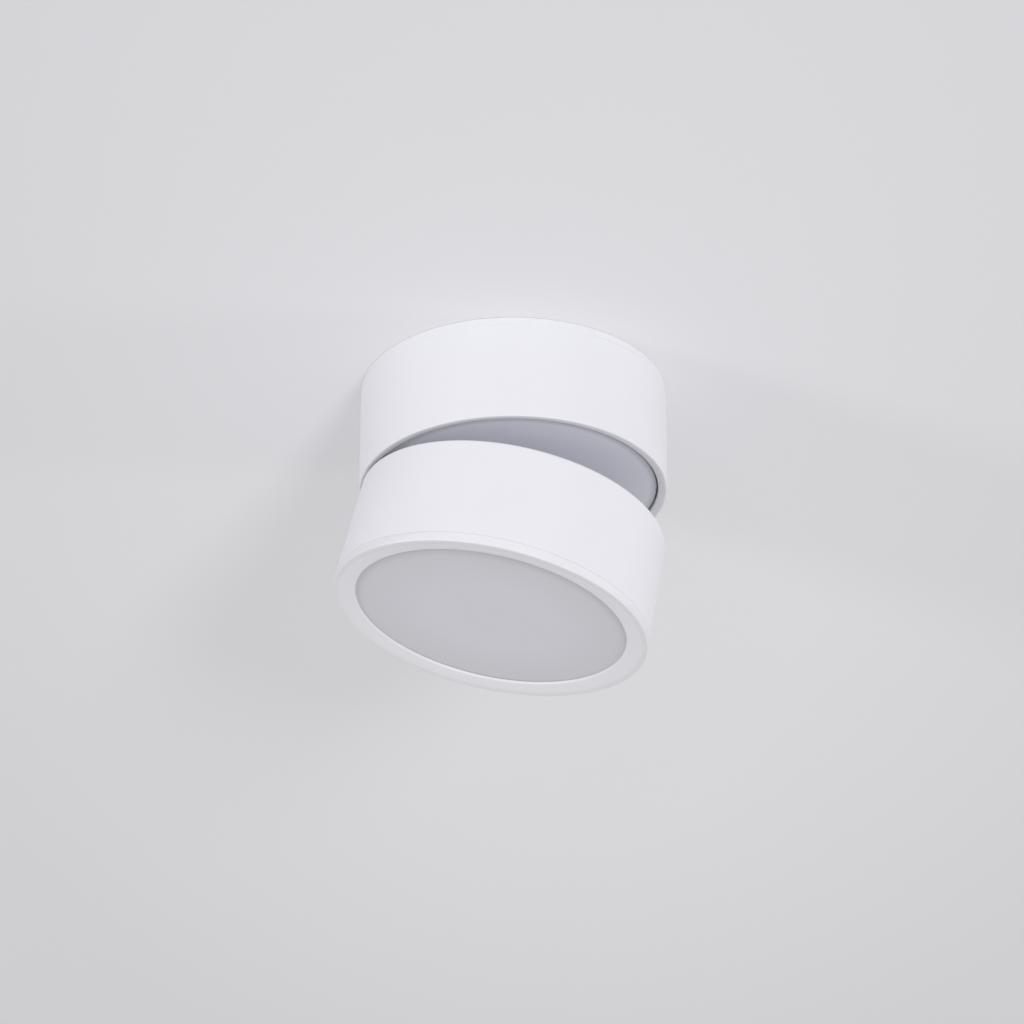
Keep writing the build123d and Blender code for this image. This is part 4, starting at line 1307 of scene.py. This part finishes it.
    def build_front_ring(self) -> None:
        """Turn the front ring with its dished face and its spigot, notch the spigot, and paint shade on the
        flat outer band of its face.
        """
        face, rear = self.front_level, self.shell_end
        sheet = self.sheet_low.z
        pocket = self.sheet_high.y + self.spigot_fit
        outer = self.drum_radius(rear) - self.wall - self.spigot_fit
        inner = outer - self.spigot_wall
        flat = self.front_radius - self.ring_flat
        ring = turned("front_ring", [
            Corner(inner, rear),
            Corner(inner, self.spigot_end),
            Corner(outer, self.spigot_end, self.edge_round),
            Corner(outer, rear),
            Corner(self.drum_radius(rear) - self.seam_chamfer, rear),
            Corner(self.drum_radius(rear), rear - self.seam_chamfer),
            Corner(self.front_radius, face, self.ring_round),
            Corner(flat, face),
            Corner(self.window + self.ring_bevel, face + self.ring_dish, self.edge_round),
            Corner(self.window, sheet),
            Corner(pocket, sheet),
            Corner(pocket, rear),
        ])
        depth = 2 * self.spigot_wall
        half = self.notch_width / 2
        notch_high = (outer + depth, half, self.spigot_end + PAST)
        for turn in spread(self.notch_count):
            tool = block("notch", (inner - depth, -half, rear), notch_high)
            combine(ring, Join.TAKE, settle(tool, Matrix.Rotation(turn, 4, "Z")))
        # The flat outer band of the face is painted darker as shade, fading in and out at its edges.
        ring_shade_end = self.front_radius - self.ring_round
        coat = BandedCoat(
            "ring_coat_painted_shade", "white_coat", band=self.ring_shade_colour, fade_in=(flat - self.ring_shade_fade, flat),
            fade_out=(ring_shade_end - self.ring_shade_fade, ring_shade_end), centre=self.axis_point(face), tilt=self.tilt
        )
        self.seat(ring, ["bezel"], coat)

    def axis_point(self, height: float) -> Vector:
        """The point of the head's axis at a height in its own frame, where it stands in the part."""
        return self.place @ Vector((0, 0, height))

    def build_diffuser(self) -> None:
        """Turn the frosted sheet behind the ring."""
        low, high = self.sheet_low, self.sheet_high
        sheet = turned("diffuser_sheet", [
            Corner(0, low.z),
            Corner(high.y, low.z, self.edge_round),
            Corner(high.y, high.z, self.edge_round),
            Corner(0, high.z),
        ], closed=False)
        centre = self.axis_point(low.z)
        frost = FrostedSheet("frosted_opal_sheet", "frosted_cover", centre, self.tilt, self.window)
        self.seat(sheet, ["diffuser"], frost)

    def inlet_centre(self) -> Vector:
        """Middle of the lead's inlet on the rear face."""
        low, high = self.box("inlet_bush")
        return Vector(((low.x + high.x) / 2, 0, 0))

    def build_inlet(self) -> None:
        """Turn the rubber sleeve of the lead's inlet."""
        low, high = self.box("inlet_bush")
        lip, edge = high.y, 2 * self.edge_round
        inlet = turned("inlet_sleeve", [
            Corner(self.inlet_bore, high.z, edge),
            Corner(lip, high.z, edge),
            Corner(lip, 0),
            Corner(self.inlet_radius, 0),
            Corner(self.inlet_radius, -self.rear_wall),
            Corner(lip, -self.rear_wall),
            Corner(lip, low.z, edge),
            Corner(self.inlet_bore, low.z, edge),
        ], steps=ROD_SIDES)
        settle(inlet, Matrix.Translation(self.inlet_centre()))
        self.seat(inlet, ["inlet_bush"], BLACK_RUBBER)

    def build_bumpers(self) -> None:
        """Turn one rubber bumper and copy it to both places."""
        low, high = self.box("bumpers")
        radius = (high.x - low.x) / 2
        top = radius - high.z * tan(self.bumper_taper)
        bumper = turned("bumper", [
            Corner(0, high.z),
            Corner(top, high.z, 2 * self.edge_round),
            Corner(radius, 0),
            Corner(self.bumper_stem, 0),
            Corner(self.bumper_stem, low.z, self.edge_round),
            Corner(0, low.z),
        ], closed=False, steps=ROD_SIDES)
        spots = [(high.x - radius, side * (high.y - radius), 0) for side in (-1, 1)]
        bumpers = copied(bumper, [Matrix.Translation(spot) for spot in spots], "bumper_pair")
        self.seat(bumpers, ["bumpers"], BLACK_RUBBER)

    def build_chips(self) -> None:
        """Shape one light chip, with a dished window in its frame, and copy it to each chip's place."""
        low, high = self.box("led_chips")
        half = Vector(self.chip_size) / 2
        chip = block("chip", (-half.x, -half.y, low.z), (half.x, half.y, high.z))
        for finish in (CHIP_FRAME, PHOSPHOR):
            chip.data.materials.append(finish.material())
        with edit_mode(chip):
            choose(chip, Part.FACE, lambda face: face.center.z < low.z + WELD)
            bpy.ops.mesh.inset(thickness=self.chip_inset)
            bpy.ops.mesh.extrude_region_move(TRANSFORM_OT_translate={"value": (0, 0, self.chip_dish)})
            bpy.context.object.active_material_index = 1
            bpy.ops.object.material_slot_assign()
        self.seat(copied(chip, self.chip_places(), "light_chips"), ["led_chips"], PHOSPHOR, CHIP_FRAME)

    def chip_places(self) -> list[Matrix]:
        """Find where the chips stand, in rings round the head's axis.

        Returns:
            The place of each chip.
        """
        outer = self.box("led_board")[1].y - self.chip_margin
        pitch = (outer - self.chip_ring) / (self.chip_rings - 1)
        places = []
        for ring in range(self.chip_rings):
            out = Matrix.Translation((self.chip_ring + ring * pitch, 0, 0))
            turns = spread(self.chip_count * (ring + 1))
            places += [Matrix.Rotation(turn, 4, "Z") @ out for turn in turns]
        return places


# What stays inside


@dataclass(frozen=True)
class InnerWorks:
    """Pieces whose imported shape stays, each with the finish of its material."""

    def dress(self) -> None:
        """Give every kept piece its finish."""
        dress(ZINC_STEEL, "spindle", "stop_washer", "disc_spring", "spindle_nut", "stop_pin", "hinge_pin")
        dress(ZINC_STEEL, "driver_screws", "block_screws", "heat_sink_screws", "board_screws")
        dress(TURNED_BRASS, "terminal_screws", "earth_screw", "arm_bush")
        dress(PRESSED_ALUMINIUM, "heat_sink")
        dress(WHITE_PLASTIC, "terminal_block", "cable_bush", "led_connector", "reflector")
        dress(DRIVER_PLASTIC, "driver_case", "driver_lid")
        dress(NATURAL_NYLON, "thrust_washer", "friction_washers")
        dress(MILKY_SILICONE, "gasket")
        dress(GREEN_BOARD, "driver_board")
        dress(WHITE_BOARD, "led_board")
        dress(BLACK_FERRITE, "driver_transformer")
        dress(SLEEVE_FILM, "driver_capacitors")


# Stage, light and camera


@dataclass(frozen=True)
class CeilingPaint(Finish):
    """Matt ceiling paint with a roller's stipple and a painted falloff of the light, which is only seen
    from below.
    """

    colour: Colour = (0.914, 0.914, 0.934)
    falloff_shade: Colour = (0.842, 0.841, 0.866)
    centre: Triple = (0.02, 0.2, 0.0)
    depth_share: float = 0.45
    fall_span: Span = (0.1, 0.28)
    cloud_size: float = 60 * MM
    cloud_detail: float = 3.0
    cloud_share: float = 0.06
    roughness: float = 0.9
    specular: float = 0.2
    stipple_size: float = 1.6 * MM
    stipple_depth: float = 0.03 * MM
    strength: float = 0.4

    def paint(self, sheet: NodeSheet) -> None:
        """Paint the light's falloff as darker paint away from a centre, stipple it, and let the upper side
        through.

        Args:
            sheet: The sheet that takes the nodes.
        """
        # Painted light falloff: the ceiling is painted darker away from a centre near the object, as if the
        # lamps' light fell off.
        reach = sheet.from_axis(Vector(self.centre), depth_share=self.depth_share)
        plain = sheet.blend(sheet.ramp(reach, *self.fall_span), self.colour, self.falloff_shade)
        cloud = sheet.remap(sheet.noise(self.cloud_size, self.cloud_detail), 0.0, self.cloud_share)
        sheet.set(Base_Color=sheet.blend(cloud, plain, self.falloff_shade))
        sheet.set(Roughness=self.roughness, Specular_IOR_Level=self.specular)
        sheet.relief(sheet.noise(self.stipple_size), self.stipple_depth, self.strength)
        side = sheet.add("ShaderNodeNewGeometry").outputs["Backfacing"]
        clear = sheet.add("ShaderNodeBsdfTransparent").outputs[0]
        mixed = sheet.add("ShaderNodeMixShader", side, sheet.shader.outputs[0], clear)
        sheet.feed(sheet.tree.nodes["Material Output"].inputs["Surface"], mixed.outputs[0])


@dataclass(frozen=True)
class RoomLight:
    """Even light from the room, with a plain backdrop where the room itself shows."""

    level: Colour = (0.622, 0.615, 0.62)
    backdrop: Colour = (0.72, 0.72, 0.735)

    def build(self) -> None:
        """Light the scene evenly, and show the backdrop to the camera and in reflections."""
        world = bpy.data.worlds.new("room")
        world.use_nodes = True
        sheet = NodeSheet(world.node_tree, "Background")
        path = sheet.add("ShaderNodeLightPath").outputs
        seen = path["Is Camera Ray"]
        for other in ("Is Glossy Ray", "Is Transmission Ray"):
            seen = sheet.add("ShaderNodeMath", seen, path[other], operation="MAXIMUM").outputs[0]
        sheet.set(Color=sheet.blend(seen, self.level, self.backdrop))
        bpy.context.scene.world = world


@dataclass(frozen=True)
class SoftLight:
    """A square soft lamp that looks at the object from below the ceiling."""

    name: str
    azimuth: float
    drop: float
    level: Colour
    distance: float = 4.0
    size: float = 0.8

    def build(self, target: Vector) -> None:
        """Hang the lamp and turn it to its target, at the level that a white face there would show.

        Args:
            target: The point that it looks at.
        """
        lamp = bpy.data.lights.new(self.name, "AREA")
        lamp.shape = "SQUARE"
        lamp.size = self.size
        strongest = max(self.level)
        lamp.energy = (pi * self.distance) ** 2 * strongest
        lamp.color = [share / strongest for share in self.level]
        turn, fall = radians(self.azimuth), radians(self.drop)
        back = Vector((sin(turn) * cos(fall), -cos(turn) * cos(fall), -sin(fall)))
        light = bpy.data.objects.new(self.name, lamp)
        light.location = target + back * self.distance
        light.rotation_euler = (-back).to_track_quat("-Z", "Y").to_euler()
        bpy.context.scene.collection.objects.link(light)


@dataclass(frozen=True)
class PhotoCamera:
    """The camera under the ceiling, with small turns that put the object at its place in the image."""

    focal_pixels: float = 4594.6
    image_pixels: float = 1024
    sensor: float = 36.0
    distance: float = 1.7905
    azimuth: float = 0.7
    drop: float = 28.63
    aim_level: float = -40 * MM
    yaw: float = -0.0153
    pitch: float = -0.348
    roll: float = 0.12

    def build(self) -> None:
        """Set the scene's camera."""
        fall = radians(self.drop)
        ahead, right = Vector((0, cos(fall), sin(fall))), Vector((1, 0, 0))
        spot = Vector((0, 0, self.aim_level)) - ahead * self.distance
        up = right.cross(ahead)
        ahead, right = self.turn(ahead, right, self.yaw)
        ahead, up = self.turn(ahead, up, self.pitch)
        right, up = self.turn(right, up, self.roll)
        camera = bpy.data.objects.new("camera", bpy.data.cameras.new("camera"))
        camera.data.sensor_width = self.sensor
        camera.data.lens = self.focal_pixels * self.sensor / self.image_pixels
        stand = Matrix.Translation(spot) @ Matrix((right, up, -ahead)).transposed().to_4x4()
        camera.matrix_world = Matrix.Rotation(radians(self.azimuth), 4, "Z") @ stand
        bpy.context.scene.collection.objects.link(camera)
        bpy.context.scene.camera = camera

    @staticmethod
    def turn(first: Vector, second: Vector, angle: float) -> tuple[Vector, Vector]:
        """Turn two square directions in their own plane by degrees, the first towards the second."""
        c, s = cos(radians(angle)), sin(radians(angle))
        return first * c + second * s, second * c - first * s


@dataclass(frozen=True)
class Studio:
    """A pale ceiling that carries the object, with the room's light and three soft lamps."""

    ceiling_radius: float = 3.0
    ceiling_lap: float = 0.5 * MM
    ceiling_lift: float = 0.05 * MM
    lamp_target: Triple = (0.0, 0.0, -50 * MM)
    lamps: tuple[SoftLight, ...] = (
        SoftLight("left_lamp", azimuth=-59, drop=12, level=(0.178, 0.181, 0.182)),
        SoftLight("right_lamp", azimuth=21, drop=20, level=(0.262, 0.268, 0.274)),
        SoftLight("far_right_lamp", azimuth=91, drop=12, level=(0.1, 0.1, 0.1)),
    )

    def build(self) -> None:
        """Build the ceiling, the light and the camera."""
        bpy.context.scene.view_settings.view_transform = "Standard"
        self.build_ceiling()
        RoomLight().build()
        for lamp in self.lamps:
            lamp.build(Vector(self.lamp_target))
        PhotoCamera().build()

    def build_ceiling(self) -> None:
        """Draw the ceiling out from the edge of the base to a wide ring that faces down."""
        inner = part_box("ceiling_plate")[1].x - self.ceiling_lap
        bpy.ops.object.select_all(action="DESELECT")
        lift = (0, 0, self.ceiling_lift)
        bpy.ops.mesh.primitive_circle_add(vertices=TURN_STEPS, radius=inner, location=lift)
        ceiling = settle(named("ceiling"))
        with edit_mode(ceiling):
            bpy.ops.mesh.extrude_edges_move()
            widen = self.ceiling_radius / inner
            bpy.ops.transform.resize(value=(widen, widen, 1), center_override=(0, 0, 0))
        if ceiling.data.polygons[0].normal.z > 0:
            with edit_mode(ceiling):
                bpy.ops.mesh.flip_normals()
        ceiling.data.materials.append(CeilingPaint("ceiling_paint", "white_coat").material())


def main() -> None:
    """Build the light from its base to its head, then the stage."""
    logging.basicConfig(level=logging.INFO, format="%(name)s: %(message)s")
    BaseUnit().build()
    swivel = SwivelUnit()
    swivel.build()
    LightHead(swivel).build()
    InnerWorks().dress()
    Studio().build()


if __name__ == "__main__":
    main()
